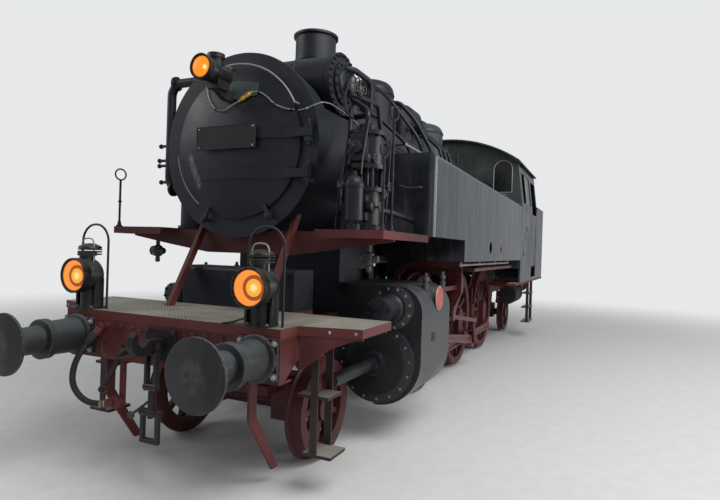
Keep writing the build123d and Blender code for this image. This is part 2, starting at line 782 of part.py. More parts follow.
def beam(end):
    """Buffer beam with end gussets, rail guards, draw hook, brake cock and hose holder."""
    x = tuple(sorted((end * (BEAM_FACE - BEAM_THICK), end * BEAM_FACE)))
    with BuildPart() as piece:
        block(x, (-BEAM_HALF, BEAM_HALF), (BEAM_Z[0], BEAM_TOP))
        for side in (1, -1):
            back = end * (BEAM_FACE - BEAM_THICK)
            tip = back - end * GUSSET_REACH
            gusset = [
                (back, BEAM_Z[0]), (back, BEAM_TOP), (tip, BEAM_TOP), (tip, BEAM_TOP - GUSSET_DROP)
            ]
            side_plate(gusset, both(BEAM_HALF - 24, BEAM_HALF, side))
            flange_x = tuple(sorted((back - end * FLANGE_REACH, back)))
            for low in (BEAM_Z[0], BEAM_TOP - FLANGE_THICK):
                block(flange_x, both(FLANGE_IN, BEAM_HALF, side), (low, low + FLANGE_THICK))
            guard = [(end * x, RAIL + z) for x, z in RAIL_GUARD]
            side_plate(guard, both(GUARD_Y, GUARD_Y + GUARD_THICK, side))
            foot = both(RAIL_GUARD[0][0], RAIL_GUARD[1][0], end)
            block(foot, both(FRAME_OUT, GUARD_Y, side), (FRAME_RAISED, FRAME_RAISED + 60))
        add(draw_hook(end))
        hose_fittings(end)
    return piece.part


BUFFER_Y = 875
BUFFER_Z = RAIL + 1050
HEAD_R = 225


def buffers(end):
    """Pair of sleeve buffers on square base plates."""
    plate = BEAM_FACE + 26
    face = BEAM_FACE + BUFFER_LENGTH
    outline = [
        (plate, 0),
        (plate, 150),
        (plate + 40, 138),
        (plate + 280, 130),
        (plate + 280, 142),
        (plate + 330, 142),
        (plate + 330, 108),
        (face - 75, 100),
        (face - 48, HEAD_R - 12),
        (face - 40, HEAD_R),
        (face - 24, HEAD_R),
        (face, 90),
        (face, 0),
    ]
    with BuildPart() as pair:
        for side in (1, -1):
            turned([(end * x, r) for x, r in outline], 0, side * BUFFER_Y, BUFFER_Z)
            block(
                tuple(sorted((end * BEAM_FACE, end * plate))),
                (side * BUFFER_Y - 165, side * BUFFER_Y + 165),
                (BUFFER_Z - 140, BUFFER_Z + 140),
            )
    return pair.part


save(buffers(1), "front_buffers")
save(buffers(-1), "rear_buffers")

HOOK_Z = BUFFER_Z
HOOK_THICK = 56
COUPLING_X = BEAM_FACE + 90
COUPLING_PIN_R = 20
LINK_Y = HOOK_THICK / 2 + 6


def draw_hook(end):
    """Guard plate and upturned hook. The hole behind the hook carries the screw coupling."""
    with BuildPart(mode=Mode.PRIVATE) as hook:
        block(
            tuple(sorted((end * BEAM_FACE, end * (BEAM_FACE + 22)))),
            (-150, 150),
            (HOOK_Z - 120, HOOK_Z + 120),
        )
        outline = [
            (BEAM_FACE + 22, -45),
            (BEAM_FACE + 190, -60),
            (BEAM_FACE + 270, -40),
            (BEAM_FACE + 310, 20),
            (BEAM_FACE + 300, 95),
            (BEAM_FACE + 262, 120),
            (BEAM_FACE + 240, 100),
            (BEAM_FACE + 246, 45),
            (BEAM_FACE + 215, 10),
            (BEAM_FACE + 170, 22),
            (BEAM_FACE + 150, 55),
            (BEAM_FACE + 22, 48),
        ]
        side_plate([(end * x, HOOK_Z + z) for x, z in outline], (-HOOK_THICK / 2, HOOK_THICK / 2))
        hole = COUPLING_PIN_R + PIN_GAP
        rod(
            (end * COUPLING_X, -HOOK_THICK, HOOK_Z - 8),
            (end * COUPLING_X, HOOK_THICK, HOOK_Z - 8),
            hole,
            Mode.SUBTRACT,
        )
    return hook.part


def screw_coupling(end):
    """Pin, two links, screw between two trunnions and the bow, hanging from the hook."""
    x = end * COUPLING_X
    top = HOOK_Z - 8
    upper = top - 290
    lower = upper - 190
    bow = lower - 190
    with BuildPart() as chain:
        rod((x, -LINK_Y - 26, top), (x, LINK_Y + 26, top), COUPLING_PIN_R)
        for side in (1, -1):
            link_y = both(LINK_Y, LINK_Y + 20, side)
            block((x - 22, x + 22), link_y, (upper - 28, top + 32))
            block((x - 16, x + 16), both(LINK_Y + 24, LINK_Y + 52, side), (bow, lower + 24))
        rod((x, -LINK_Y - 24, upper), (x, LINK_Y + 24, upper), 30)
        rod((x, -LINK_Y - 56, lower), (x, LINK_Y + 56, lower), 30)
        rod((x, 0, upper), (x, 0, lower - 40), 21)
        block((x - 16, x + 16), (-LINK_Y - 52, LINK_Y + 52), (bow - 32, bow))
        middle = (upper + lower) / 2
        rod((x, 0, middle), (x + end * 170, 0, middle - 60), 10)
        rod((x + end * 170, 0, middle - 60), (x + end * 190, 0, middle - 67), 26)
    return chain.part


# Brake hoses. Each route starts at its cock and ends at its head, which hangs on a holder below the beam.
HOSE_R = 23
HOSE_ROUTE = [
    (5662, -640, 1070),
    (5732, -672, 985),
    (5782, -712, 850),
    (5790, -722, 700),
    (5752, -660, 585),
    (5700, -570, 540),
    (5664, -480, 556),
]


def hose_points(end):
    return [Vector(end * x, end * y, RAIL + z) for x, y, z in HOSE_ROUTE]


def hose_fittings(end):
    """Cock on the beam, and the head on its holder, each with a flat face square to the hose."""
    points = hose_points(end)
    start, away = points[0], (points[1] - points[0]).normalized()
    stop, onward = points[-1], (points[-1] - points[-2]).normalized()
    rod((end * BEAM_FACE, start.Y, start.Z + 50), (end * (BEAM_FACE + 40), start.Y, start.Z + 50), 42)
    rod(tuple(start - away * 60), tuple(start), HOSE_R + 9)
    block(
        tuple(sorted((end * BEAM_FACE, start.X - end * 20))),
        (start.Y - 24, start.Y + 24),
        (start.Z + 20, start.Z + 76),
    )
    rod(tuple(stop), tuple(stop + onward * 55), HOSE_R + 9)
    head = stop + onward * 75
    rod((head.X - 24, head.Y, head.Z), (head.X + 24, head.Y, head.Z), 48)
    holder_x = tuple(sorted((end * (BEAM_FACE - 30), end * (BEAM_FACE - 10))))
    block(holder_x, (head.Y - 25, head.Y + 25), (head.Z - 20, BEAM_Z[0]))
    block(
        tuple(sorted((end * (BEAM_FACE - 30), head.X))),
        (head.Y - 25, head.Y + 25),
        (head.Z - 20, head.Z + 10),
    )


def hose(end):
    """Rubber hose: straight runs joined by arcs as large as the runs allow."""
    points = hose_points(end)
    runs = [b - a for a, b in zip(points, points[1:])]
    radii = [
        0.45 * min(a.length, b.length) / math.tan(math.radians(a.get_angle(b)) / 2)
        for a, b in zip(runs, runs[1:])
    ]
    print("hose radii", [round(r) for r in radii])
    with BuildPart() as tube:
        with BuildLine() as route:
            FilletPolyline(*points, radius=radii)
        with BuildSketch(Plane(origin=points[0], z_dir=runs[0])):
            Circle(HOSE_R)
        sweep(path=route.wire())
    print(
        "hose length",
        round(route.wire().length),
        "volume ratio",
        tube.part.volume / (math.pi * HOSE_R**2 * route.wire().length),
    )
    return tube.part


for end, name in ((1, "front"), (-1, "rear")):
    save(beam(end), f"{name}_beam")
    save(hose(end), f"{name}_brake_hose")
    save(screw_coupling(end), f"{name}_screw_coupling")

# Boiler, smokebox and what stands on them
RING_FRONT = SMOKEBOX_FRONT + RING_THICK
DOOR_OPENING_R = DOOR_R - 45
NICHE_HALF = HEATER_R + 32
NICHE_LOW = HEATER_Z - HEATER_R - 30
STEAM_DOME_R = 320
STEAM_DOME_TOP = RAIL + 4110
REAR_DOME_R = 330
REAR_DOME_TOP = RAIL + 4050
SAND_HALF_LENGTH = 370
SAND_HALF_WIDTH = 300
SAND_TOP = RAIL + 4000
SAND_CORNER = 190
SAND_EDGE = 150
DOME_SKIRT = 55
CLADDING_LOW = 3300


def firebox_outline(grow=0):
    """Cross-section of the firebox casing: half round above, drawn in below to pass between the frames."""
    r = BOILER_R + grow
    low = FIREBOX_HALF + grow
    side = [(r, BOILER_Z), (r - 30, RAIL + 2080), (low, RAIL + 1620), (low, FIREBOX_LOW - grow)]
    Polyline(*side, *[(-y, z) for y, z in reversed(side)])
    ThreePointArc((-r, BOILER_Z), (0, BOILER_Z + r), (r, BOILER_Z))


# Fittings on the boiler: low and high end above its axis, radius
SAFETY_VALVE_X = -1250
SAFETY_VALVE_Y = 160
SAFETY_VALVE = [(700, 795, 92), (795, 940, 60), (940, 1000, 76), (1000, 1060, 46), (1060, 1100, 26)]
WHISTLE_X = -1600
WHISTLE_Y = 300
WHISTLE = [(700, 860, 18), (860, 1010, 40), (1010, 1030, 24)]
HANDRAIL_X = (-1880, 2900)
HANDRAIL_Y = 872
HANDRAIL_Z = RAIL + 3020
HANDRAIL_R = 15
STANCHION_R = 11
STANCHION_X = (2860, 1400, 200, -900, -1800)
STANCHION_ROOT = 700

with BuildPart() as boiler:
    rod((FIREBOX_X[1], 0, BOILER_Z), (BARREL_FRONT, 0, BOILER_Z), BOILER_R)
    with BuildSketch(Plane.YZ.offset(FIREBOX_X[0])) as casing:
        with BuildLine():
            firebox_outline()
        make_face()
    extrude(casing.sketch, amount=FIREBOX_X[1] - FIREBOX_X[0])
    block(ASHPAN_X, (-ASHPAN_HALF, ASHPAN_HALF), (ASHPAN_LOW, FIREBOX_LOW))
    hopper = [
        (ASHPAN_X[0], ASHPAN_LOW),
        (ASHPAN_X[1], ASHPAN_LOW),
        (ASHPAN_X[1] - 120, ASHPAN_LOW - 80),
        (ASHPAN_X[0] + 140, ASHPAN_LOW - 80),
    ]
    side_plate(hopper, (-ASHPAN_HALF, ASHPAN_HALF))
    for side in (1, -1):
        column(SAFETY_VALVE_X, side * SAFETY_VALVE_Y, BOILER_Z, SAFETY_VALVE)
        rail_y = side * HANDRAIL_Y
        rod((HANDRAIL_X[0], rail_y, HANDRAIL_Z), (HANDRAIL_X[1], rail_y, HANDRAIL_Z), HANDRAIL_R)
        for x in STANCHION_X:
            rod((x, side * STANCHION_ROOT, HANDRAIL_Z), (x, rail_y, HANDRAIL_Z), STANCHION_R)
    column(WHISTLE_X, WHISTLE_Y, BOILER_Z, WHISTLE)
save(boiler.part, "boiler")

with BuildPart() as smokebox:
    rod((BARREL_FRONT, 0, BOILER_Z), (SMOKEBOX_FRONT, 0, BOILER_Z), BOILER_R)
    rod(
        (BARREL_FRONT + 25, 0, BOILER_Z),
        (SMOKEBOX_FRONT, 0, BOILER_Z),
        BOILER_R - SMOKEBOX_WALL,
        Mode.SUBTRACT,
    )
    trough_x = (HEATER_X - NICHE_HALF, HEATER_X + NICHE_HALF)
    with BuildPart(mode=Mode.PRIVATE) as trough:
        wall = SMOKEBOX_WALL
        rod((trough_x[0] - wall, 0, BOILER_Z), (trough_x[1] + wall, 0, BOILER_Z), BOILER_R - 1)
        block(
            (trough_x[0] - wall, trough_x[1] + wall),
            (-BOILER_R, BOILER_R),
            (NICHE_LOW - wall, 2 * BOILER_Z),
            Mode.INTERSECT,
        )
    add(trough.part)
    block(trough_x, (-BOILER_R, BOILER_R), (NICHE_LOW, 2 * BOILER_Z), Mode.SUBTRACT)
    rod((SMOKEBOX_FRONT, 0, BOILER_Z), (RING_FRONT, 0, BOILER_Z), RING_R)
    rod((SMOKEBOX_FRONT - 1, 0, BOILER_Z), (RING_FRONT, 0, BOILER_Z), DOOR_OPENING_R, Mode.SUBTRACT)
    rod(
        (CHIMNEY_X, 0, BOILER_Z), (CHIMNEY_X, 0, BOILER_Z + BOILER_R + 10), CHIMNEY_BORE_R, Mode.SUBTRACT
    )
    rod((CHIMNEY_X, 0, BOILER_Z - BOILER_R + 6), (CHIMNEY_X, 0, BOILER_Z + 60), 95)

with BuildPart() as chimney:
    foot = BOILER_Z + BOILER_R - 120
    flare = (foot + 60, foot + 150, foot + 290)
    lip = (CHIMNEY_TOP - 36, CHIMNEY_TOP - 24)
    with BuildSketch(Plane(origin=(CHIMNEY_X, 0, 0), x_dir=(1, 0, 0), z_dir=(0, -1, 0))) as wall:
        with BuildLine():
            bore = [(CHIMNEY_BORE_R, CHIMNEY_TOP), (CHIMNEY_BORE_R, foot)]
            Polyline(*bore, (CHIMNEY_FOOT_R, foot), (CHIMNEY_FOOT_R, flare[0]))
            ThreePointArc((CHIMNEY_FOOT_R, flare[0]), (CHIMNEY_R + 42, flare[1]), (CHIMNEY_R, flare[2]))
            barrel = [(CHIMNEY_R, flare[2]), (CHIMNEY_R, lip[0]), (CHIMNEY_LIP_R, lip[1])]
            Polyline(*barrel, (CHIMNEY_LIP_R, CHIMNEY_TOP), bore[0])
        make_face()
    revolve(wall.sketch, axis=Axis((CHIMNEY_X, 0, 0), (0, 0, 1)))
    rod((CHIMNEY_X - 500, 0, BOILER_Z), (CHIMNEY_X + 500, 0, BOILER_Z), BOILER_R + SEAT, Mode.SUBTRACT)
save(chimney.part, "chimney")

# Pipes from the heater's left end back to the boiler: route above the rail, bend, radius
HEATER_PIPES = [
    (
        [(4200, 680, 3470), (4200, 820, 3470), (3760, 820, 3470), (3760, 820, 3140), (3760, 640, 3140)],
        90,
        29,
    ),
    (
        [(4200, 680, 3240), (4200, 820, 3240), (3560, 820, 3290), (3420, 820, 2890), (3420, 700, 2890)],
        78,
        25,
    ),
]
SIDE_PIPE_X = 4688
SIDE_PIPE_R = 42
SIDE_PIPE = [
    (SIDE_PIPE_X, -420, 3345),
    (SIDE_PIPE_X, -872, 3345),
    (SIDE_PIPE_X, -872, 2330),
    (SIDE_PIPE_X, -640, 2330),
]

with BuildPart() as heater:
    rod((HEATER_X, -HEATER_HALF, HEATER_Z), (HEATER_X, HEATER_HALF, HEATER_Z), HEATER_R)
    for side in (1, -1):
        rod(
            (HEATER_X, side * HEATER_HALF, HEATER_Z),
            (HEATER_X, side * (HEATER_HALF + 34), HEATER_Z),
            HEATER_R + 18,
        )
        rod(
            (HEATER_X, side * (HEATER_HALF + 34), HEATER_Z),
            (HEATER_X, side * (HEATER_HALF + 56), HEATER_Z),
            HEATER_R - 70,
        )
        block(
            (HEATER_X - 60, HEATER_X + 60), both(180, 280, side), (NICHE_LOW, HEATER_Z - HEATER_R + 60)
        )
    for route, bend, radius in HEATER_PIPES:
        pipe([(x, y, RAIL + z) for x, y, z in route], bend, radius)
    rod((3000, 0, BOILER_Z), (4000, 0, BOILER_Z), BOILER_R + SEAT, Mode.SUBTRACT)
save(heater.part, "feedwater_heater")

with BuildPart() as side_pipe:
    pipe([(x, y, RAIL + z) for x, y, z in SIDE_PIPE], 120, SIDE_PIPE_R)
    for z in (SIDE_PIPE[0][2], SIDE_PIPE[-1][2]):
        rod(
            (SIDE_PIPE_X, -BOILER_R - 40, RAIL + z),
            (SIDE_PIPE_X, -BOILER_R - 16, RAIL + z),
            SIDE_PIPE_R + 26,
        )
    rod(
        (SIDE_PIPE_X - 400, 0, BOILER_Z),
        (SIDE_PIPE_X + 400, 0, BOILER_Z),
        BOILER_R + SEAT,
        Mode.SUBTRACT,
    )
save(side_pipe.part, "exhaust_pipe")


def round_dome(x, radius, top):
    """Dome with a flared foot, rounded shoulder and flat crown, cut to sit on the boiler cladding."""
    foot = radius + DOME_SKIRT
    low = CLADDING_LOW
    shoulder = (0.77 * radius, top - 0.18 * radius)
    with BuildPart(mode=Mode.PRIVATE) as dome:
        with BuildSketch(Plane(origin=(x, 0, 0), x_dir=(1, 0, 0), z_dir=(0, -1, 0))) as half:
            with BuildLine():
                Polyline((0, top), (0, low), (foot, low), (foot, low + 60))
                ThreePointArc((foot, low + 60), (radius + 16, low + 130), (radius, low + 220))
                Line((radius, low + 220), (radius, top - 0.53 * radius))
                ThreePointArc(
                    (radius, top - 0.53 * radius), (0.92 * radius, top - 0.33 * radius), shoulder
                )
                ThreePointArc(shoulder, crown(*shoulder, top), (0, top))
            make_face()
        revolve(half.sketch, axis=Axis((x, 0, 0), (0, 0, 1)))
        rod((x - 2 * radius, 0, BOILER_Z), (x + 2 * radius, 0, BOILER_Z), BOILER_R + SEAT, Mode.SUBTRACT)
    return dome.part


save(round_dome(STEAM_DOME_X, STEAM_DOME_R, STEAM_DOME_TOP), "steam_dome")
save(round_dome(REAR_DOME_X, REAR_DOME_R, REAR_DOME_TOP), "rear_dome")

SAND_PIPE_R = 23
SAND_PIPE_BEND = 90
SAND_PIPE_X = (SAND_DOME_X - 240, SAND_DOME_X, SAND_DOME_X + 240)
# Y and height above the rail along a sand pipe, from the dome's side down behind the tank
SAND_PIPE = [(270, 3600), (430, 3600), (740, 3300), (820, 3060), (820, 2700)]

with BuildPart() as sand_dome:
    with BuildSketch(Plane.XY.offset(CLADDING_LOW)) as base:
        with Locations((SAND_DOME_X, 0)):
            RectangleRounded(2 * SAND_HALF_LENGTH, 2 * SAND_HALF_WIDTH, SAND_CORNER)
    extrude(base.sketch, amount=SAND_TOP - CLADDING_LOW)
    fillet(sand_dome.faces().sort_by(Axis.Z)[-1].edges(), SAND_EDGE)
    reach = 2 * SAND_HALF_LENGTH
    rod(
        (SAND_DOME_X - reach, 0, BOILER_Z),
        (SAND_DOME_X + reach, 0, BOILER_Z),
        BOILER_R + SEAT,
        Mode.SUBTRACT,
    )
    for side in (1, -1):
        for x in SAND_PIPE_X:
            pipe([(x, side * y, RAIL + z) for y, z in SAND_PIPE], SAND_PIPE_BEND, SAND_PIPE_R)
save(sand_dome.part, "sand_dome")

# Smokebox door with its hinge straps, lamp bracket and blank number plate
HINGE_X = RING_FRONT + 46
HINGE_Y = 740
HINGE_Z = (RAIL + 2424, RAIL + 2762)
HINGE_PIN_R = 17
STRAP_HALF = 44
STRAP_END = -330
DOOR_BACK = RING_FRONT + SEAT
DOOR_EDGE = 24
NUMBER_PLATE = (630, 205)
NUMBER_PLATE_Z = RAIL + 2732
LAMP_Z = RAIL + 3236
LAMP_FOOT = 400


def dish(x, edge_r, depth, thick):
    """Shallow bowl about the boiler's axis: outer and inner arcs share their rise."""
    rise_r = (edge_r**2 + depth**2) / (2 * depth)
    half_way = rise_r - math.sqrt(rise_r**2 - (edge_r / 2) ** 2)
    with BuildSketch(Plane(origin=(0, 0, BOILER_Z), x_dir=(1, 0, 0), z_dir=(0, -1, 0))) as bowl:
        with BuildLine():
            ThreePointArc((x, edge_r), (x + depth - half_way, edge_r / 2), (x + depth, 0))
            Line((x + depth, 0), (x + depth - thick, 0))
            ThreePointArc(
                (x + depth - thick, 0), (x + depth - thick - half_way, edge_r / 2), (x - thick, edge_r)
            )
            Line((x - thick, edge_r), (x, edge_r))
        make_face()
    return revolve(bowl.sketch, axis=Axis((0, 0, BOILER_Z), (1, 0, 0)))


with smokebox:
    for z in HINGE_Z:
        for low in (z - STRAP_HALF - 36, z + STRAP_HALF - 6):
            lug = [
                (RING_FRONT, HINGE_Y - 55),
                (HINGE_X + 24, HINGE_Y - 24),
                (HINGE_X + 24, HINGE_Y + 24),
                (RING_FRONT, HINGE_Y + 24),
            ]
            flat_plate(lug, (low, low + 38))
            back = [
                (SMOKEBOX_FRONT, 560),
                (SMOKEBOX_FRONT, HINGE_Y + 24),
                (RING_FRONT, HINGE_Y + 24),
                (RING_FRONT, 560),
            ]
            flat_plate(back, (low, low + 38))
        rod(
            (HINGE_X, HINGE_Y, z - STRAP_HALF - 60), (HINGE_X, HINGE_Y, z + STRAP_HALF + 60), HINGE_PIN_R
        )
save(smokebox.part, "smokebox")

with BuildPart() as smokebox_door:
    dish(DOOR_BACK + DOOR_EDGE, DOOR_R, DOOR_DISH, DOOR_WALL)
    rod((DOOR_BACK, 0, BOILER_Z), (DOOR_BACK + DOOR_EDGE, 0, BOILER_Z), DOOR_R)
    rod(
        (DOOR_BACK - 1, 0, BOILER_Z),
        (DOOR_BACK + DOOR_EDGE - DOOR_WALL, 0, BOILER_Z),
        DOOR_R - 40,
        Mode.SUBTRACT,
    )
    for z in HINGE_Z:
        with BuildPart(mode=Mode.PRIVATE) as strap:
            dish(DOOR_BACK + DOOR_EDGE + 14, DOOR_R - 6, DOOR_DISH, 16)
            across = (z - STRAP_HALF, z + STRAP_HALF)
            block((DOOR_BACK, DOOR_BACK + 400), (STRAP_END, DOOR_R), across, Mode.INTERSECT)
        add(strap.part)
        reach = [
            (DOOR_BACK + DOOR_EDGE, 540),
            (DOOR_BACK + DOOR_EDGE + 44, 540),
            (HINGE_X + 28, HINGE_Y - 20),
            (HINGE_X + 28, HINGE_Y + 26),
            (HINGE_X - 28, HINGE_Y + 26),
            (HINGE_X - 28, HINGE_Y - 50),
        ]
        flat_plate(reach, (z - STRAP_HALF + 8, z + STRAP_HALF - 8))
        rod(
            (HINGE_X, HINGE_Y, z - STRAP_HALF),
            (HINGE_X, HINGE_Y, z + STRAP_HALF),
            HINGE_PIN_R + PIN_GAP,
            Mode.SUBTRACT,
        )
    plate_x = DOOR_BACK + DOOR_EDGE + DOOR_DISH + 20
    for y in (-230, 230):
        rod((DOOR_BACK + DOOR_EDGE + 60, y, NUMBER_PLATE_Z), (plate_x, y, NUMBER_PLATE_Z), 11)
    block(
        (plate_x, plate_x + 8),
        (-NUMBER_PLATE[0] / 2, NUMBER_PLATE[0] / 2),
        (NUMBER_PLATE_Z - NUMBER_PLATE[1] / 2, NUMBER_PLATE_Z + NUMBER_PLATE[1] / 2),
    )
save(smokebox_door.part, "smokebox_door")


def lamp_body(x_lens, x_back, y, z, lens_r):
    """Round lamp lying along X: hood, drum and a vented cap on top."""
    turned(
        [
            (x_lens, 0),
            (x_lens, lens_r - 8),
            (x_lens + 4, lens_r),
            (x_lens - 60, lens_r + 4),
            (x_lens - 90, lens_r - 22),
            (x_back, lens_r - 22),
            (x_back, 0),
        ],
        0,
        y,
        z,
    )
    middle = (x_lens + x_back) / 2 - 20
    rod((middle, y, z), (middle, y, z + lens_r + 26), 58)
    rod((middle, y, z + lens_r + 26), (middle, y, z + lens_r + 60), 72)


with BuildPart() as top_lamp:
    lens_x = 5274
    lamp_body(lens_x, 4960, 0, LAMP_Z, 95)
    foot_z = BOILER_Z + LAMP_FOOT
    foot_x = DOOR_BACK + DOOR_EDGE + 60
    block((4985, 5130), (-60, 60), (LAMP_Z - 130, LAMP_Z - 60))
    post = [
        (4985, LAMP_Z - 128),
        (5130, LAMP_Z - 128),
        (4985, foot_z - 50),
        (foot_x, foot_z - 50),
        (foot_x, foot_z + 40),
        (4960, foot_z + 40),
    ]
    side_plate(post, (-30, 30))
    dish_r = (DOOR_R**2 + DOOR_DISH**2) / (2 * DOOR_DISH)
    seat_x = DOOR_BACK + DOOR_EDGE + DOOR_DISH - dish_r
    with Locations((seat_x, 0, BOILER_Z)):
        Sphere(dish_r + SEAT, mode=Mode.SUBTRACT)
save(top_lamp.part, "top_lamp")

FRONT_LAMP_X = 5700
FRONT_LAMP_Y = 850
FRONT_LAMP_Z = RAIL + 1528
HANDLE_HALF = 150
HANDLE_TOP = RAIL + 1945
with BuildPart() as front_lamps:
    for y in (FRONT_LAMP_Y, -FRONT_LAMP_Y):
        lamp_body(FRONT_LAMP_X, FRONT_LAMP_X - 190, y, FRONT_LAMP_Z, 132)
        x = FRONT_LAMP_X - 150
        block((x - 75, x + 55), (y - 95, y + 95), (PLATFORM_TOP, PLATFORM_TOP + 16))
        rod((x - 10, y, PLATFORM_TOP), (x - 10, y, FRONT_LAMP_Z), 78)
        handle = [(y - HANDLE_HALF, PLATFORM_TOP), (y - HANDLE_HALF, HANDLE_TOP)]
        handle += [(y + HANDLE_HALF, HANDLE_TOP), (y + HANDLE_HALF, PLATFORM_TOP)]
        pipe([(x - 40, across, z) for across, z in handle], HANDLE_HALF - 6, 9)
save(front_lamps.part, "front_lamps")

with BuildPart() as rear_lamps:
    for y in (FRONT_LAMP_Y, -FRONT_LAMP_Y):
        turned(
            [
                (BUNKER_BACK - 180, 0),
                (BUNKER_BACK - 180, 132),
                (BUNKER_BACK - 120, 136),
                (BUNKER_BACK - 90, 110),
                (BUNKER_BACK - 30, 110),
                (BUNKER_BACK - 30, 0),
            ],
            0,
            y,
            FRONT_LAMP_Z,
        )
        block((BUNKER_BACK - 31, BUNKER_BACK), (y - 60, y + 60), (FRONT_LAMP_Z - 90, FRONT_LAMP_Z + 90))
save(rear_lamps.part, "rear_lamps")

# Front platform, boards, their support and the smokebox saddle
with BuildPart() as front_platform:
    wing = (4745, 5274, 5390)
    outline = [
        (4400, -600),
        (wing[0], -600),
        (wing[0], -SIDE_Y),
        (wing[1], -SIDE_Y),
        (wing[2], -BEAM_HALF),
        (BEAM_FACE, -BEAM_HALF),
    ]
    outline += [(x, -y) for x, y in reversed(outline)]
    with BuildSketch(Plane.XY.offset(BEAM_TOP)) as edge:
        with BuildLine():
            Polyline(*outline, close=True)
        make_face()
        offset(amount=-14, mode=Mode.SUBTRACT)
    extrude(edge.sketch, amount=EDGE_DEEP)
    flat_plate(outline, (PLATFORM_TOP - PLATFORM_PLATE, PLATFORM_TOP))
    for side in (1, -1):
        block(
            (4414, BEAM_FACE - BEAM_THICK),
            both(FRAME_IN, FRAME_OUT, side),
            (FRAME_TOP, PLATFORM_TOP - PLATFORM_PLATE),
        )
        for x in (4780, 5215):
            arm = [
                (FRAME_OUT, RAIL + 1020),
                (FRAME_OUT, BEAM_TOP),
                (SIDE_Y - 20, BEAM_TOP),
                (SIDE_Y - 20, BEAM_TOP - 22),
            ]
            cross_plate([(side * y, z) for y, z in arm], (x, x + 14))
    for side in (1, -1):
        for x in (4960, 5186):
            block((x, x + 14), both(1060, 1120, side), (RAIL + 300, PLATFORM_TOP - PLATFORM_PLATE))
        block((4960, 5200), both(1000, 1240, side), (RAIL + 276, RAIL + 300))
        block((4974, 5186), both(940, 1200, side), (RAIL + 700, RAIL + 724))
save(front_platform.part, "front_platform")

BOARD_SUPPORT = [(1430, 1880), (957, 1805), (474, 1738)]
BRACE_X = (5017, 4560)
BRACE_Y = (478, 518)
BRACE_TOP = 2100

with BuildPart() as running_boards:
    under = BOARD_TOP - BOARD_PLATE
    support = [(BOARD_OUT - BOARD_LIP, under)] + [(y, RAIL + z) for y, z in BOARD_SUPPORT]
    cross_plate(support + [(-y, z) for y, z in reversed(support)], SUPPORT_X)
    for side in (1, -1):
        board_x = (TANK_FRONT, BOARD_FRONT)
        block(board_x, both(BOARD_IN, BOARD_OUT, side), (under, BOARD_TOP))
        block(board_x, both(BOARD_OUT - BOARD_LIP, BOARD_OUT, side), (BOARD_TOP - EDGE_DEEP, BOARD_TOP))
        lip_x = (BOARD_FRONT - BOARD_LIP, BOARD_FRONT)
        block(lip_x, both(BOARD_IN, BOARD_OUT, side), (BOARD_TOP - EDGE_DEEP, BOARD_TOP))
        brace = [
            (BRACE_X[0] - 36, PLATFORM_TOP),
            (BRACE_X[0] + 36, PLATFORM_TOP),
            (BRACE_X[1] + 16, RAIL + BRACE_TOP),
            (BRACE_X[1] - 56, RAIL + BRACE_TOP),
        ]
        side_plate(brace, both(*BRACE_Y, side))
    reach = (SUPPORT_X[0] - 400, SUPPORT_X[1] + 400)
    rod((reach[0], 0, BOILER_Z), (reach[1], 0, BOILER_Z), BOILER_R + SEAT, Mode.SUBTRACT)
save(running_boards.part, "running_boards")

with BuildPart() as steam_chest:
    block((4420, 4750), (-610, 610), (PLATFORM_TOP, RAIL + 1612))
    fillet(steam_chest.edges().filter_by(Axis.Y).group_by(Axis.Z)[-1], 40)

with BuildPart() as saddle:
    add(steam_chest.part)
    block((3050, 3900), (-FRAME_OUT, FRAME_OUT), (FRAME_TOP, BOILER_Z - 500))
    rod((3000, 0, BOILER_Z), (4000, 0, BOILER_Z), BOILER_R + SEAT, Mode.SUBTRACT)
    for side in (1, -1):
        block(
            (3180, 3770),
            both(FRAME_IN - 5, FRAME_OUT, side),
            (FRAME_TOP + 160, RAIL + 1600),
            Mode.SUBTRACT,
        )
save(saddle.part, "smokebox_saddle")


# Pumps on the boards: low and high end above the board, radius
FEED_PUMP = (4490, 1130)
FEED_PUMP_STAGES = [
    (0, 40, 165),
    (40, 330, 130),
    (330, 365, 155),
    (520, 555, 165),
    (555, 800, 140),
    (800, 835, 165),
    (835, 900, 70),
]
PUMP_PILLAR = 95
PUMP_PILLAR_R = 18
PUMP_ROD_R = 26
AIR_VESSEL = (4738, 1140)
AIR_VESSEL_R = 78
AIR_VESSEL_FOOT_R = 60
AIR_VESSEL_SHOULDER = BOARD_TOP + 370
AIR_VESSEL_TOP = BOARD_TOP + 445
AIR_PUMP = (4120, -1025)
AIR_PUMP_STAGES = [
    (0, 40, 190),
    (40, 380, 165),
    (380, 420, 190),
    (420, 520, 60),
    (520, 560, 180),
    (560, 840, 150),
    (840, 880, 180),
    (880, 960, 70),
]

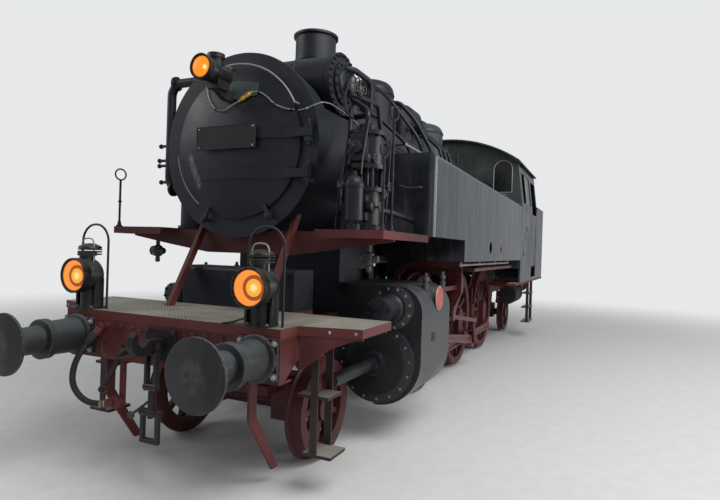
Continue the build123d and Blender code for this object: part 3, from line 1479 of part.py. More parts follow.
with BuildPart() as feed_pump:
    column(*FEED_PUMP, BOARD_TOP, FEED_PUMP_STAGES)
    gap = (FEED_PUMP_STAGES[2][1], FEED_PUMP_STAGES[3][0])
    for dx in (-PUMP_PILLAR, PUMP_PILLAR):
        for dy in (-PUMP_PILLAR, PUMP_PILLAR):
            column(FEED_PUMP[0] + dx, FEED_PUMP[1] + dy, BOARD_TOP, [(*gap, PUMP_PILLAR_R)])
    column(*FEED_PUMP, BOARD_TOP, [(*gap, PUMP_ROD_R)])
    with BuildSketch(Plane(origin=(*AIR_VESSEL, 0), x_dir=(1, 0, 0), z_dir=(0, -1, 0))) as vessel:
        with BuildLine():
            shoulder = (AIR_VESSEL_R, AIR_VESSEL_SHOULDER)
            top = (0, AIR_VESSEL_TOP)
            foot = [(0, BOARD_TOP), (AIR_VESSEL_FOOT_R, BOARD_TOP), (AIR_VESSEL_FOOT_R, BOARD_TOP + 50)]
            Polyline(top, *foot, (AIR_VESSEL_R, BOARD_TOP + 80), shoulder)
            ThreePointArc(shoulder, crown(*shoulder, AIR_VESSEL_TOP), top)
        make_face()
    revolve(vessel.sketch, axis=Axis((*AIR_VESSEL, 0), (0, 0, 1)))
save(feed_pump.part, "feed_pump")

with BuildPart() as air_pump:
    column(*AIR_PUMP, BOARD_TOP, AIR_PUMP_STAGES)
save(air_pump.part, "air_pump")

# Side tanks with their filler necks and lids
FILLER_X = -900
FILLER_Y = 1175
NECK_R = 215
NECK_TOP = TANK_TOP + 60
LID_R = 232
LID_THICK = 22
LID_HINGE_X = FILLER_X - LID_R - 30
LID_PIN_R = 12
LID_KNUCKLE_R = 22


def tank(side):
    outline = [
        (CAB_FRONT, TANK_LOW),
        (TANK_STEP_X, TANK_LOW),
        (TANK_STEP_X, TANK_FRONT_LOW),
        (TANK_FRONT, TANK_FRONT_LOW),
        (TANK_FRONT, TANK_TOP),
        (CAB_FRONT, TANK_TOP),
    ]
    with BuildPart() as body:
        side_plate(outline, both(TANK_IN, SIDE_Y, side))
        outer = body.faces().filter_by(Axis.Y).sort_by(Axis.Y)[-1 if side > 0 else 0]
        long_edge = outer.edges().filter_by(Axis.X).sort_by(Axis.Z)[-1]
        front_edge = outer.edges().filter_by(Axis.Z).sort_by(Axis.X)[-1]
        fillet([long_edge, front_edge], 70)
        rod((FILLER_X, side * FILLER_Y, TANK_TOP), (FILLER_X, side * FILLER_Y, NECK_TOP), NECK_R)
        rod(
            (FILLER_X, side * FILLER_Y, TANK_TOP - 260),
            (FILLER_X, side * FILLER_Y, NECK_TOP),
            NECK_R - 25,
            Mode.SUBTRACT,
        )
        for y in (FILLER_Y - 90, FILLER_Y + 60):
            ear = [
                (LID_HINGE_X - 25, TANK_TOP),
                (LID_HINGE_X + 25, TANK_TOP),
                (LID_HINGE_X + 18, NECK_TOP + 26),
                (LID_HINGE_X - 18, NECK_TOP + 26),
            ]
            side_plate(ear, both(y, y + 30, side))
        rod(
            (LID_HINGE_X, side * (FILLER_Y - 90), NECK_TOP + 11),
            (LID_HINGE_X, side * (FILLER_Y + 90), NECK_TOP + 11),
            LID_PIN_R,
        )
    return body.part


def filler_lid(side):
    with BuildPart() as lid:
        rod(
            (FILLER_X, side * FILLER_Y, NECK_TOP),
            (FILLER_X, side * FILLER_Y, NECK_TOP + LID_THICK),
            LID_R,
        )
        rod(
            (FILLER_X, side * FILLER_Y, NECK_TOP + LID_THICK),
            (FILLER_X, side * FILLER_Y, NECK_TOP + LID_THICK + 30),
            60,
        )
        block(
            (LID_HINGE_X - 22, FILLER_X - LID_R + 40),
            both(FILLER_Y - 55, FILLER_Y + 55, side),
            (NECK_TOP, NECK_TOP + LID_THICK),
        )
        pin_z = NECK_TOP + LID_THICK / 2
        rod(
            (LID_HINGE_X, side * (FILLER_Y - 55), pin_z),
            (LID_HINGE_X, side * (FILLER_Y + 55), pin_z),
            LID_KNUCKLE_R,
        )
        rod(
            (LID_HINGE_X, side * (FILLER_Y - 70), pin_z),
            (LID_HINGE_X, side * (FILLER_Y + 70), pin_z),
            LID_PIN_R + PIN_GAP,
            Mode.SUBTRACT,
        )
    return lid.part


# Cab, bunker and the plates below them
def cab_outline():
    """Cab cross-section: upright to the tank top, drawn in to the eaves, under a low arc."""
    side = [(EAVE_Y, EAVE_Z), (SIDE_Y, TANK_TOP), (SIDE_Y, CAB_LOW)]
    Polyline(*side, *[(-y, z) for y, z in reversed(side)])
    ThreePointArc((-EAVE_Y, EAVE_Z), (0, CROWN_Z - ROOF_THICK), (EAVE_Y, EAVE_Z))


FRONT_WINDOW_Y = (950, 1300)
FRONT_WINDOW_Z = (RAIL + 2990, RAIL + 3430, RAIL + 3605)
DOOR_PIN_X = DOORWAY_X[0] + 32
FLOOR_THICK = 24
DOOR_LEAF_TOP = RAIL + 2680
DOOR_GAP = 6

with BuildPart() as cab:
    with BuildSketch(Plane.YZ.offset(CAB_BACK)) as outer:
        with BuildLine():
            cab_outline()
        make_face()
    extrude(outer.sketch, amount=CAB_FRONT - CAB_BACK)
    with BuildSketch(Plane.YZ.offset(CAB_BACK + CAB_WALL)) as inner:
        with BuildLine():
            room = [(EAVE_Y - CAB_WALL, CROWN_Z), (EAVE_Y - CAB_WALL, EAVE_Z)]
            room += [(SIDE_Y - CAB_WALL, TANK_TOP), (SIDE_Y - CAB_WALL, CAB_LOW)]
            Polyline(*room, *[(-y, z) for y, z in reversed(room)], close=True)
        make_face()
    extrude(inner.sketch, amount=CAB_FRONT - CAB_BACK - 2 * CAB_WALL, mode=Mode.SUBTRACT)
    block(
        (CAB_BACK + CAB_WALL, CAB_FRONT - CAB_WALL),
        (CAB_WALL - SIDE_Y, SIDE_Y - CAB_WALL),
        (CAB_LOW, CAB_LOW + CAB_WALL),
        Mode.SUBTRACT,
    )
    with BuildSketch(Plane.YZ.offset(CAB_FRONT - CAB_WALL)) as passage:
        with BuildLine():
            firebox_outline(2)
        make_face()
    extrude(passage.sketch, amount=CAB_WALL, mode=Mode.SUBTRACT)
    front_wall = (CAB_FRONT - CAB_WALL, CAB_FRONT)
    block(
        front_wall,
        (CAB_WALL - SIDE_Y, SIDE_Y - CAB_WALL),
        (CAB_LOW, CAB_FLOOR - FLOOR_THICK),
        Mode.SUBTRACT,
    )
    for side in (1, -1):
        sill = (SIDE_Y - 160, SIDE_Y)
        block(DOORWAY_X, both(*sill, side), (CAB_LOW + 60, DOORWAY_TOP), Mode.SUBTRACT)
        block(SIDE_WINDOW_X, both(*sill, side), WINDOW_Z, Mode.SUBTRACT)
        arch = Plane.YZ.offset(CAB_FRONT - CAB_WALL)
        with BuildSketch(arch) as front_window:
            with BuildLine():
                y0, y1 = (side * y for y in FRONT_WINDOW_Y)
                low, spring, top = FRONT_WINDOW_Z
                Polyline((y0, spring), (y0, low), (y1, low), (y1, spring))
                ThreePointArc((y1, spring), ((y0 + y1) / 2, top), (y0, spring))
            make_face()
        extrude(front_window.sketch, amount=CAB_WALL, mode=Mode.SUBTRACT)
        block(
            (CAB_BACK, CAB_BACK + CAB_WALL),
            both(700, 1150, side),
            (RAIL + 3050, RAIL + 3500),
            Mode.SUBTRACT,
        )

with BuildPart() as cab_roof:
    with BuildSketch(Plane.YZ.offset(CAB_BACK - 90)) as section:
        with BuildLine():
            eave = EAVE_Y + 45
            Polyline((EAVE_Y, EAVE_Z), (eave, EAVE_Z - 18), (eave, EAVE_Z + 14))
            ThreePointArc((eave, EAVE_Z + 14), (0, CROWN_Z), (-eave, EAVE_Z + 14))
            Polyline((-eave, EAVE_Z + 14), (-eave, EAVE_Z - 18), (-EAVE_Y, EAVE_Z))
            ThreePointArc((-EAVE_Y, EAVE_Z), (0, CROWN_Z - ROOF_THICK), (EAVE_Y, EAVE_Z))
        make_face()
    extrude(section.sketch, amount=CAB_FRONT - CAB_BACK + 240)
    block((-3550, -2650), (-430, 430), (CROWN_Z - 90, CROWN_Z + 40))
    with BuildSketch(Plane.YZ.offset(CAB_BACK - 90)) as under:
        with BuildLine():
            Line((EAVE_Y, EAVE_Z), (-EAVE_Y, EAVE_Z))
            ThreePointArc((-EAVE_Y, EAVE_Z), (0, CROWN_Z - ROOF_THICK), (EAVE_Y, EAVE_Z))
        make_face()
    extrude(under.sketch, amount=CAB_FRONT - CAB_BACK + 240, mode=Mode.SUBTRACT)
save(cab_roof.part, "cab_roof")

with BuildPart() as cab_floor:
    inside = (CAB_BACK + CAB_WALL, BOILER_BACK - 2)
    block(inside, (CAB_WALL - SIDE_Y, SIDE_Y - CAB_WALL), (CAB_FLOOR - FLOOR_THICK, CAB_FLOOR))
    for side in (1, -1):
        block((inside[0], -2240), both(FRAME_IN, FRAME_OUT, side), (FRAME_TOP, CAB_FLOOR - FLOOR_THICK))
        block(
            (inside[0], CAB_FRONT - CAB_WALL),
            both(FRAME_OUT + 100, SIDE_Y - CAB_WALL, side),
            (CAB_FLOOR - FLOOR_THICK, CAB_FLOOR),
        )
    face = BOILER_BACK
    block((face - 14, face), (-230, 230), (RAIL + 1700, RAIL + 2060))
    block((face - 46, face - 14), (-160, 160), (RAIL + 1750, RAIL + 2010))
    for y in (-330, 330):
        block((face - 50, face), (y - 35, y + 35), (RAIL + 2620, RAIL + 2980))
    rod((face - 120, 0, RAIL + 2760), (face, 0, RAIL + 2760), 60)
    rod((face - 110, -40, RAIL + 2760), (face - 110, 360, RAIL + 2900), 18)
    for y, z in ((-120, 3120), (120, 3120)):
        rod((face - 60, y, RAIL + z), (face, y, RAIL + z), 75)
save(cab_floor.part, "cab_floor")

with BuildPart() as bunker:
    block((BUNKER_BACK, CAB_BACK), (-SIDE_Y, SIDE_Y), (CAB_LOW, BUNKER_TOP))
    upright = bunker.edges().filter_by(Axis.Z).group_by(Axis.X)[0]
    fillet(upright, 90)
    block(
        (BUNKER_BACK + 30, CAB_BACK - 30),
        (-SIDE_Y + 30, SIDE_Y - 30),
        (RAIL + 2050, BUNKER_TOP),
        Mode.SUBTRACT,
    )
    for side in (1, -1):
        block((BUNKER_BACK + 60, CAB_BACK - 60), both(FRAME_IN, FRAME_OUT, side), (FRAME_TOP, CAB_LOW))
save(bunker.part, "bunker")


def cab_door(side):
    """Lower door in the doorway, swinging inward on a pin at its rear edge."""
    z = (CAB_FLOOR + DOOR_GAP, DOOR_LEAF_TOP)
    with BuildPart() as leaf:
        block((DOORWAY_X[0] + 40, DOORWAY_X[1] - DOOR_GAP), both(SIDE_Y - CAB_WALL, SIDE_Y - 4, side), z)
        for low in (z[0] + 150, z[1] - 230):
            rod(
                (DOOR_PIN_X, side * (SIDE_Y - 46), low), (DOOR_PIN_X, side * (SIDE_Y - 46), low + 80), 15
            )
            block(
                (DOOR_PIN_X, DOORWAY_X[0] + 120),
                both(SIDE_Y - 52, SIDE_Y - CAB_WALL, side),
                (low, low + 80),
            )
            rod(
                (DOOR_PIN_X, side * (SIDE_Y - 46), low),
                (DOOR_PIN_X, side * (SIDE_Y - 46), low + 80),
                8 + PIN_GAP,
                Mode.SUBTRACT,
            )
    return leaf.part


with cab:
    for side in (1, -1):
        z = (CAB_FLOOR + DOOR_GAP, DOOR_LEAF_TOP)
        for low in (z[0] + 150, z[1] - 230):
            pin = (DOOR_PIN_X, side * (SIDE_Y - 46))
            rod((*pin, low - 30), (*pin, low + 110), 8)
            for ear in (low - 30, low + 85):
                block((pin[0] - 44, pin[0] + 10), both(SIDE_Y - 58, SIDE_Y - 34, side), (ear, ear + 25))
                block(
                    (pin[0] - 44, pin[0] - 33),
                    both(SIDE_Y - 34, SIDE_Y - CAB_WALL, side),
                    (ear, ear + 25),
                )

CAB_PANELS = [
    # name, X range, Y range
    ("cab_front_wall", (CAB_FRONT - CAB_WALL, CAB_FRONT), (-SIDE_Y, SIDE_Y)),
    ("cab_back_wall", (CAB_BACK, CAB_BACK + CAB_WALL), (-SIDE_Y, SIDE_Y)),
    ("cab_side_left", (CAB_BACK + CAB_WALL, CAB_FRONT - CAB_WALL), (0, SIDE_Y)),
    ("cab_side_right", (CAB_BACK + CAB_WALL, CAB_FRONT - CAB_WALL), (-SIDE_Y, 0)),
]
for name, x, y in CAB_PANELS:
    with BuildPart() as panel:
        add(cab.part)
        block(x, y, (CAB_LOW, CROWN_Z), Mode.INTERSECT)
    save(panel.part, name)

for side, name in ((1, "left"), (-1, "right")):
    save(tank(side), f"side_tank_{name}")
    save(filler_lid(side), f"filler_lid_{name}")
    save(cab_door(side), f"cab_door_{name}")

with BuildPart() as footboards:
    for side in (1, -1):
        block((BUNKER_BACK, -1480), both(1330, SIDE_Y, side), (CAB_LOW - 40, CAB_LOW))
        for x in (-2560, -3900, -5200):
            block((x - 20, x + 20), both(FRAME_OUT, 1330, side), (CAB_LOW - 120, CAB_LOW - 40))
            block((x - 20, x + 20), both(1290, 1330, side), (CAB_LOW - 40, CAB_LOW - 20))
        for x in (-4130, -3564):
            block((x, x + 14), both(1400, 1460, side), (RAIL + 330, CAB_LOW - 40))
        for z in (330, 640, 950):
            block((-4116, -3564), both(1300, 1480, side), (RAIL + z, RAIL + z + 22))
save(footboards.part, "footboards_and_steps")

with BuildPart() as reservoirs:
    for side in (1, -1):
        rod((-3560, side * 1140, RAIL + 960), (-2700, side * 1140, RAIL + 960), 185)
        for x in (-3400, -2880):
            block((x, x + 50), both(1115, 1165, side), (RAIL + 1120, CAB_LOW - 40))
        block((-3500, -2780), both(1080, 1200, side), (CAB_LOW - 60, CAB_LOW - 40))
        block((-3500, -2780), both(1200, 1330, side), (CAB_LOW - 60, CAB_LOW - 40))
save(reservoirs.part, "air_reservoirs")

with BuildPart() as brake_gear:
    for wheel_x in (COUPLED_PITCH, 0, -COUPLED_PITCH):
        for side in (1, -1):
            with BuildSketch(side_plane(side * (TYRE_BACK + 90))) as shoe:
                with Locations((wheel_x, AXLE_Z)):
                    Circle(COUPLED_R + 70)
                    Circle(COUPLED_R + 8, mode=Mode.SUBTRACT)
                with Locations((wheel_x + COUPLED_R, AXLE_Z - 60)):
                    Rectangle(400, 380, mode=Mode.INTERSECT)
            extrude(shoe.sketch, amount=42, both=True)
            hanger = [
                (wheel_x + COUPLED_R + 40, AXLE_Z - 270),
                (wheel_x + COUPLED_R + 80, AXLE_Z - 270),
                (wheel_x + COUPLED_R + 90, RAIL + 1180),
                (wheel_x + COUPLED_R + 40, RAIL + 1180),
            ]
            side_plate(hanger, both(TYRE_BACK + 60, TYRE_BACK + 120, side))
            block(
                (wheel_x + COUPLED_R + 40, wheel_x + COUPLED_R + 90),
                both(FRAME_OUT, TYRE_BACK + 60, side),
                (RAIL + 1110, RAIL + 1170),
            )
        rod(
            (wheel_x + COUPLED_R + 60, -TYRE_BACK - 60, AXLE_Z - 300),
            (wheel_x + COUPLED_R + 60, TYRE_BACK + 60, AXLE_Z - 300),
            30,
        )
        for side in (1, -1):
            block(
                (wheel_x + COUPLED_R + 30, wheel_x + COUPLED_R + 90),
                both(TYRE_BACK + 55, TYRE_BACK + 120, side),
                (AXLE_Z - 330, AXLE_Z - 268),
            )
    block(
        (-COUPLED_PITCH + COUPLED_R - 200, COUPLED_PITCH + COUPLED_R + 80),
        (-30, 30),
        (AXLE_Z - 365, AXLE_Z - 330),
    )
save(brake_gear.part, "brake_gear")
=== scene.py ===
import math

import bpy
import numpy as np
from mathutils import Matrix, Vector


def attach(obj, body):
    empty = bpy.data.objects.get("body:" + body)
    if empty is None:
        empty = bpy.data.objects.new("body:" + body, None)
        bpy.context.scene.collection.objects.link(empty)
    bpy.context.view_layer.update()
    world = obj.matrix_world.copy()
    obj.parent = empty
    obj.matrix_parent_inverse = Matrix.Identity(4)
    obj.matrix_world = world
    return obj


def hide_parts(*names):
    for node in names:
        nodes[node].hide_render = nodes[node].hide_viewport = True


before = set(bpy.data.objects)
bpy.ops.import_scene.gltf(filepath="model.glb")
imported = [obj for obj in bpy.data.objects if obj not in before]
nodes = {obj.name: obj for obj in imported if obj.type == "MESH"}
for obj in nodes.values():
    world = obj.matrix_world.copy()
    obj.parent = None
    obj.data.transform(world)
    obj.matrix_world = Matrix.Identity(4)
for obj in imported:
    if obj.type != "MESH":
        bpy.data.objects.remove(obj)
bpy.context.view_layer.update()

# Places taken over from the construction model, in metres
RAIL = 0.028
BOILER_Z = RAIL + 2.696
BOILER_R = 0.79
AXLE_Z = RAIL + 0.75
BUFFER_Y = 0.875
BUFFER_Z = RAIL + 1.05
BEAM_X = 5.6
PLATFORM_Z = RAIL + 1.256
PLATE_THICK = 0.016
BOARD_Z = RAIL + 1.96
SAND_X = 0.85
STEAM_X = 1.95
STEAM_R = 0.32
REAR_DOME_X = -0.4
CHIMNEY_X = 3.458
SIDE_Y = 1.5
TANK_TOP = RAIL + 2.76
CAB_FRONT_X = -1.89
RING_X = 4.769
DOOR_R = 0.655
DOOR_X = 4.7933
DOOR_DISH = 0.13
DISH_R = (DOOR_R ** 2 + DOOR_DISH ** 2) / (2 * DOOR_DISH)
HEATER_X = 4.2
HEATER_Z = RAIL + 3.33
CYLINDER_Y = 1.04
VALVE_Y = 1.19
VALVE_Z = RAIL + 1.27
X, Y, Z = (1, 0, 0), (0, 1, 0), (0, 0, 1)
ORIGIN = (0, 0, 0)
NO_RADIUS = 1e-5  # where a profile meets its axis
NO_SIZE = 1e-6  # keeps a division from nought
RUN_SHARE = 0.48  # the most that a bend takes of a run
NEAR_AXIS = 0.9  # a direction with more of X than this is too close to it
BOTH = (1, -1)
SIDES = (("left", 1), ("right", -1))
ENDS = (("front", 1), ("rear", -1))


def at(x, y, z):
    """A place in metres, its height taken above the rail."""
    return (x, y, RAIL + z)


def mm(x, y, z):
    """A place in millimetres, its height taken above the rail."""
    return at(x / 1000, y / 1000, z / 1000)


def linked(name, data):
    """A new object of the data in the scene's collection."""
    made = bpy.data.objects.new(name, data)
    bpy.context.scene.collection.objects.link(made)
    return made


# Camera: the photograph's place, direction, roll and lens
CAMERA_PLACE = (8.632, 3.009, 1.836)
CAMERA_YAW = math.radians(24.81)
CAMERA_PITCH = math.radians(-0.07)
CAMERA_ROLL = math.radians(1.83)
CAMERA_LENS = 26.85
SENSOR_WIDTH = 36
VIEW_END = 500


def set_camera():
    """Columns of the camera's matrix are right, up and backward, turned by the roll about the view line."""
    level = math.cos(CAMERA_PITCH)
    ahead = Vector((-math.cos(CAMERA_YAW) * level, -math.sin(CAMERA_YAW) * level, math.sin(CAMERA_PITCH)))
    right = ahead.cross(Vector(Z)).normalized()
    up = right.cross(ahead)
    c, s = math.cos(CAMERA_ROLL), math.sin(CAMERA_ROLL)
    columns = (c * right + s * up, c * up - s * right, -ahead, CAMERA_PLACE)
    data = bpy.data.cameras.new("camera")
    data.lens = CAMERA_LENS
    data.sensor_width = SENSOR_WIDTH
    data.sensor_fit = "HORIZONTAL"
    data.clip_end = VIEW_END
    camera = linked("camera", data)
    camera.matrix_world = Matrix([[column[i] for column in columns] for i in range(3)] + [[0, 0, 0, 1]])
    bpy.context.scene.camera = camera


set_camera()
bpy.context.scene.view_settings.view_transform = "Standard"


# Surfaces: a shell is (points, [faces with equal corner counts, ...])
def grid_shell(points, closed=False):
    """Quads between neighbouring rows u and columns v of points[u, v]. The columns close on themselves. The
    rows do so too if closed, else the first and the last are closed by one flat face each."""
    if closed:
        points = np.concatenate([points, points[:1]])
    rows, columns = points.shape[:2]
    here = np.arange(rows * columns).reshape(rows, columns)
    ahead = np.roll(here, -1, 1)
    faces = [np.stack([here[:-1], ahead[:-1], ahead[1:], here[1:]], -1).reshape(-1, 4)]
    if not closed:
        faces.append(np.stack([here[0][::-1], here[-1]]))
    return points.reshape(-1, 3), faces


def join(*shells):
    """One shell out of several, each one's corner numbers moved up by the points before it."""
    starts = np.cumsum([0] + [len(s[0]) for s in shells[:-1]])
    points = np.concatenate([s[0] for s in shells])
    return points, [f + start for s, start in zip(shells, starts) for f in s[1]]


def signed_volume(shell):
    """Sum over each face's fan of a . (b x c) / 6: positive when the faces point outwards."""
    points, faces = shell
    total = 0.0
    for f in faces:
        a, b, c = points[f[:, :1]], points[f[:, 1:-1]], points[f[:, 2:]]
        total += float((a * np.cross(b, c)).sum()) / 6
    return total


def outward(shell):
    """The shell with every face's corners reversed if its volume comes out negative."""
    return (shell[0], [f[:, ::-1] for f in shell[1]]) if signed_volume(shell) < 0 else shell


def axes_for(axis):
    """Two unit vectors at right angles to axis and to each other, and the axis as a unit vector."""
    axis = np.asarray(axis, float) / np.linalg.norm(axis)
    helper = np.eye(3)[np.argmin(np.abs(axis))]
    first = np.cross(helper, axis)
    first /= np.linalg.norm(first)
    return first, np.cross(axis, first), axis


def round_turn(count, a, b, start=0.0):
    """cos v a + sin v b, for evenly spaced v once round."""
    v = start + np.linspace(0, 2 * np.pi, count, endpoint=False)[:, None]
    return np.cos(v) * a + np.sin(v) * b


def turned(profile, place, axis, count, closed=False):
    """p(u, v) = place + r(u) (cos v a + sin v b) + h(u) axis, for the profile's rows of radius r and height
    h. The last row meets the first if closed."""
    profile = np.asarray(profile, float)
    a, b, k = axes_for(axis)
    radius, height = np.maximum(profile[:, 0], NO_RADIUS)[:, None, None], profile[:, 1][:, None, None]
    return outward(grid_shell(np.asarray(place, float) + radius * round_turn(count, a, b) + height * k,
                              closed))


def hoop(inner, outer, slope, wide, place, axis=Z, count=56):
    """A flat band round the axis, turned from a trapezium: wide at the inner radius, a slope less on both
    sides at the outer one."""
    return turned([(inner, 0), (outer, slope), (outer, wide - slope), (inner, wide)], place, axis, count,
                  closed=True)


def smooth_corners(points, bend, steps=6):
    """Each inner corner P becomes the parabola (1-t)^2 A + 2t(1-t) P + t^2 B between A and B, bend away on
    its runs."""
    p = np.asarray(points, float)
    run = np.diff(p, axis=0)
    length = np.linalg.norm(run, axis=1, keepdims=True)
    unit = run / length
    cut = np.minimum(bend, RUN_SHARE * np.minimum(length[:-1], length[1:]))
    a, b, corner = p[1:-1] - unit[:-1] * cut, p[1:-1] + unit[1:] * cut, p[1:-1]
    t = np.linspace(0, 1, steps)[None, :, None]
    arcs = (1 - t) ** 2 * a[:, None] + 2 * t * (1 - t) * corner[:, None] + t ** 2 * b[:, None]
    return np.concatenate([p[:1], arcs.reshape(-1, 3), p[-1:]])


def cross_frames(path):
    """Two cross vectors at each point of a path, taken against the fixed direction that the path least
    follows."""
    tangent = np.gradient(path, axis=0)
    tangent /= np.linalg.norm(tangent, axis=1, keepdims=True)
    choices = [(x, y, z) for x in (-1, 0, 1) for y in (-1, 0, 1) for z in (0, 1) if (x, y, z) != ORIGIN]
    choices = np.array(choices, float)
    choices /= np.linalg.norm(choices, axis=1, keepdims=True)
    fixed = choices[np.argmin(np.abs(tangent @ choices.T).max(0))]
    first = np.cross(fixed, tangent)
    first /= np.linalg.norm(first, axis=1, keepdims=True)
    return first, np.cross(tangent, first)


def tube(points, radius, bend, count):
    """p(u, v) = c(u) + r (cos v n(u) + sin v m(u)), a circle carried along the corners' rounded path c."""
    path = smooth_corners(points, bend) if len(points) > 2 else np.asarray(points, float)
    n, m = cross_frames(path)
    return outward(grid_shell(path[:, None] + radius * round_turn(count, n[:, None], m[:, None])))


def rod(start, end, radius, count=10):
    """A straight tube between two places."""
    return tube([start, end], radius, 0, count)


def torus(place, axis, radius, thick, count=20, around=8, arc=(0, 360)):
    """p(u, v) = place + (R + r cos v)(cos u a + sin u b) + r sin v axis; part of the turn when arc is under
    360."""
    a, b, k = axes_for(axis)
    whole = arc[1] - arc[0] >= 360
    u = np.radians(np.linspace(arc[0], arc[1], count, endpoint=not whole))[:, None, None]
    v = np.linspace(0, 2 * np.pi, around, endpoint=False)[None, :, None]
    out = np.cos(u) * a + np.sin(u) * b
    points = np.asarray(place, float) + (radius + thick * np.cos(v)) * out + thick * np.sin(v) * k
    return outward(grid_shell(points, whole))


def slab(outline, axis, low, high, chamfer=0.0):
    """An outline in the plane across axis ("x", "y" or "z"), carried from low to high with its edges taken in
    by chamfer: four rows of the same corners, the outer two moved towards the middle by the chamfer's
    share."""
    flat = np.asarray(outline, float)
    middle = flat.mean(0)
    size = np.abs(flat - middle).max(0)
    drawn = middle + (flat - middle) * (1 - chamfer / np.maximum(size, NO_SIZE))
    rows = [(drawn, low), (flat, low + chamfer), (flat, high - chamfer), (drawn, high)]
    if chamfer == 0:
        rows = [(flat, low), (flat, high)]
    where = {"x": (1, 2, 0), "y": (0, 2, 1), "z": (0, 1, 2)}[axis]
    points = np.zeros((len(rows), len(flat), 3))
    for row, (corners, level) in enumerate(rows):
        points[row, :, where[0]] = corners[:, 0]
        points[row, :, where[1]] = corners[:, 1]
        points[row, :, where[2]] = level
    return outward(grid_shell(points))


def cuboid(low, high, chamfer):
    """A slab whose outline is the rectangle between two opposite corners."""
    (x0, y0, z0), (x1, y1, z1) = np.minimum(low, high), np.maximum(low, high)
    return slab([(x0, y0), (x1, y0), (x1, y1), (x0, y1)], "z", z0, z1, chamfer)


def scattered(shell, places, directions):
    """Copies of a shell built round the origin along +Z, one at each place with its +Z turned to the
    direction."""
    points, faces = shell
    places = np.asarray(places, float).reshape(-1, 3)
    k = np.broadcast_to(np.asarray(directions, float), places.shape)
    k = k / np.linalg.norm(k, axis=1, keepdims=True)
    helper = np.where(np.abs(k[:, :1]) < NEAR_AXIS, np.array([X], float), np.array([Y], float))
    a = np.cross(helper, k)
    a /= np.linalg.norm(a, axis=1, keepdims=True)
    b = np.cross(k, a)
    every = (points[None, :, :1] * a[:, None] + points[None, :, 1:2] * b[:, None]
             + points[None, :, 2:] * k[:, None])
    step = np.arange(len(places))[:, None, None] * len(points)
    return (every + places[:, None]).reshape(-1, 3), [(f[None] + step).reshape(-1, f.shape[1]) for f in faces]


def bolts(radius, height, places, directions=Z):
    """Six-sided bolt heads, each with a washer under it, standing on the places along the directions."""
    washer = [(radius * 1.5, 0), (radius * 1.5, height * 0.25), (radius * 1.1, height * 0.3)]
    head = [(radius, height * 0.2), (radius, height * 0.85), (radius * 0.8, height), (0, height)]
    return scattered(join(turned(washer, ORIGIN, Z, 12), turned(head, ORIGIN, Z, 6)), places, directions)


def rivets(radius, places, directions):
    """Half a ball on each place: r = R cos t, h = 0.7 R sin t."""
    t = np.linspace(0, np.pi / 2, 4)
    half = turned(np.stack([radius * np.cos(t), 0.7 * radius * np.sin(t)], 1), ORIGIN, Z, 8)
    return scattered(half, places, directions)


def circle_of(count, radius, place, axis, start=0.0):
    """Points evenly round a circle: place + R (cos v a + sin v b)."""
    a, b, _ = axes_for(axis)
    return np.asarray(place, float) + radius * round_turn(count, a, b, start)


def round_boiler(x, turn, radius):
    """The point at a radius from the boiler's axis, turned in degrees from straight down towards the left
    side."""
    a = math.radians(turn)
    return np.array((x, radius * math.sin(a), BOILER_Z - radius * math.cos(a)))


def door_face(y, z, lift=0.0):
    """Points of the door's dished face, part of a ball, at sideways y and height z from the boiler's axis,
    raised by lift."""
    r2 = np.minimum(np.square(y) + np.square(z), DOOR_R ** 2)
    front = DOOR_X + DOOR_DISH - DISH_R + np.sqrt(DISH_R ** 2 - r2)
    return np.stack([front + lift, y + 0 * front, BOILER_Z + z + 0 * front], -1)


def door_patch(top, bottom, lift, thick, steps=9):
    """p(u, v) = the door's face at ((1 - v) top(u) + v bottom(u)), both edges being runs of straight lines,
    and the same face raised by the thickness, with the rim between them closed."""
    u = np.linspace(0, 1, steps)
    edges = []
    for corners in (top, bottom):
        corners = np.asarray(corners, float)
        along = np.linspace(0, 1, len(corners))
        edges.append(np.stack([np.interp(u, along, corners[:, i]) for i in (0, 1)], 1))
    v = np.linspace(0, 1, steps)[:, None, None]
    flat = (1 - v) * edges[0] + v * edges[1]
    low, high = (door_face(flat[..., 0], flat[..., 1], lift + d) for d in (0, thick))
    return outward(grid_shell(np.concatenate([low, high[:, ::-1]], 1)))


SLOTS = {
    "black_paint": "black_paint smokebox_paint pale_green tank_paint cab_paint",
    "frame_red": "frame_red beam_red wheel_red plate_red",
    "bright_steel": "bright_steel rod_red worn_steel dull_metal brass wire_light",
    "undergear_black": "undergear_black greasy_black bow_brown pane",
    "platform_plate": "tread_plate",
    "casing_grey": "casing_grey bracket_grey",
    "buffer_grey": "buffer_grey",
    "hose_rubber": "hose_rubber",
}
SLOT_OF = {finish: slot for slot, finishes in SLOTS.items() for finish in finishes.split()}
FINISHES = {}  # each finished material by its name
SHARP_ANGLE = math.radians(35)


def put(name, data, finish, body):
    """One object in one finish, riding on a body."""
    data.materials.append(finish)
    made = linked(name, data)
    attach(made, body)
    SLOT_OF.get(finish.name.split(".")[0], "lamp_black")
    return made


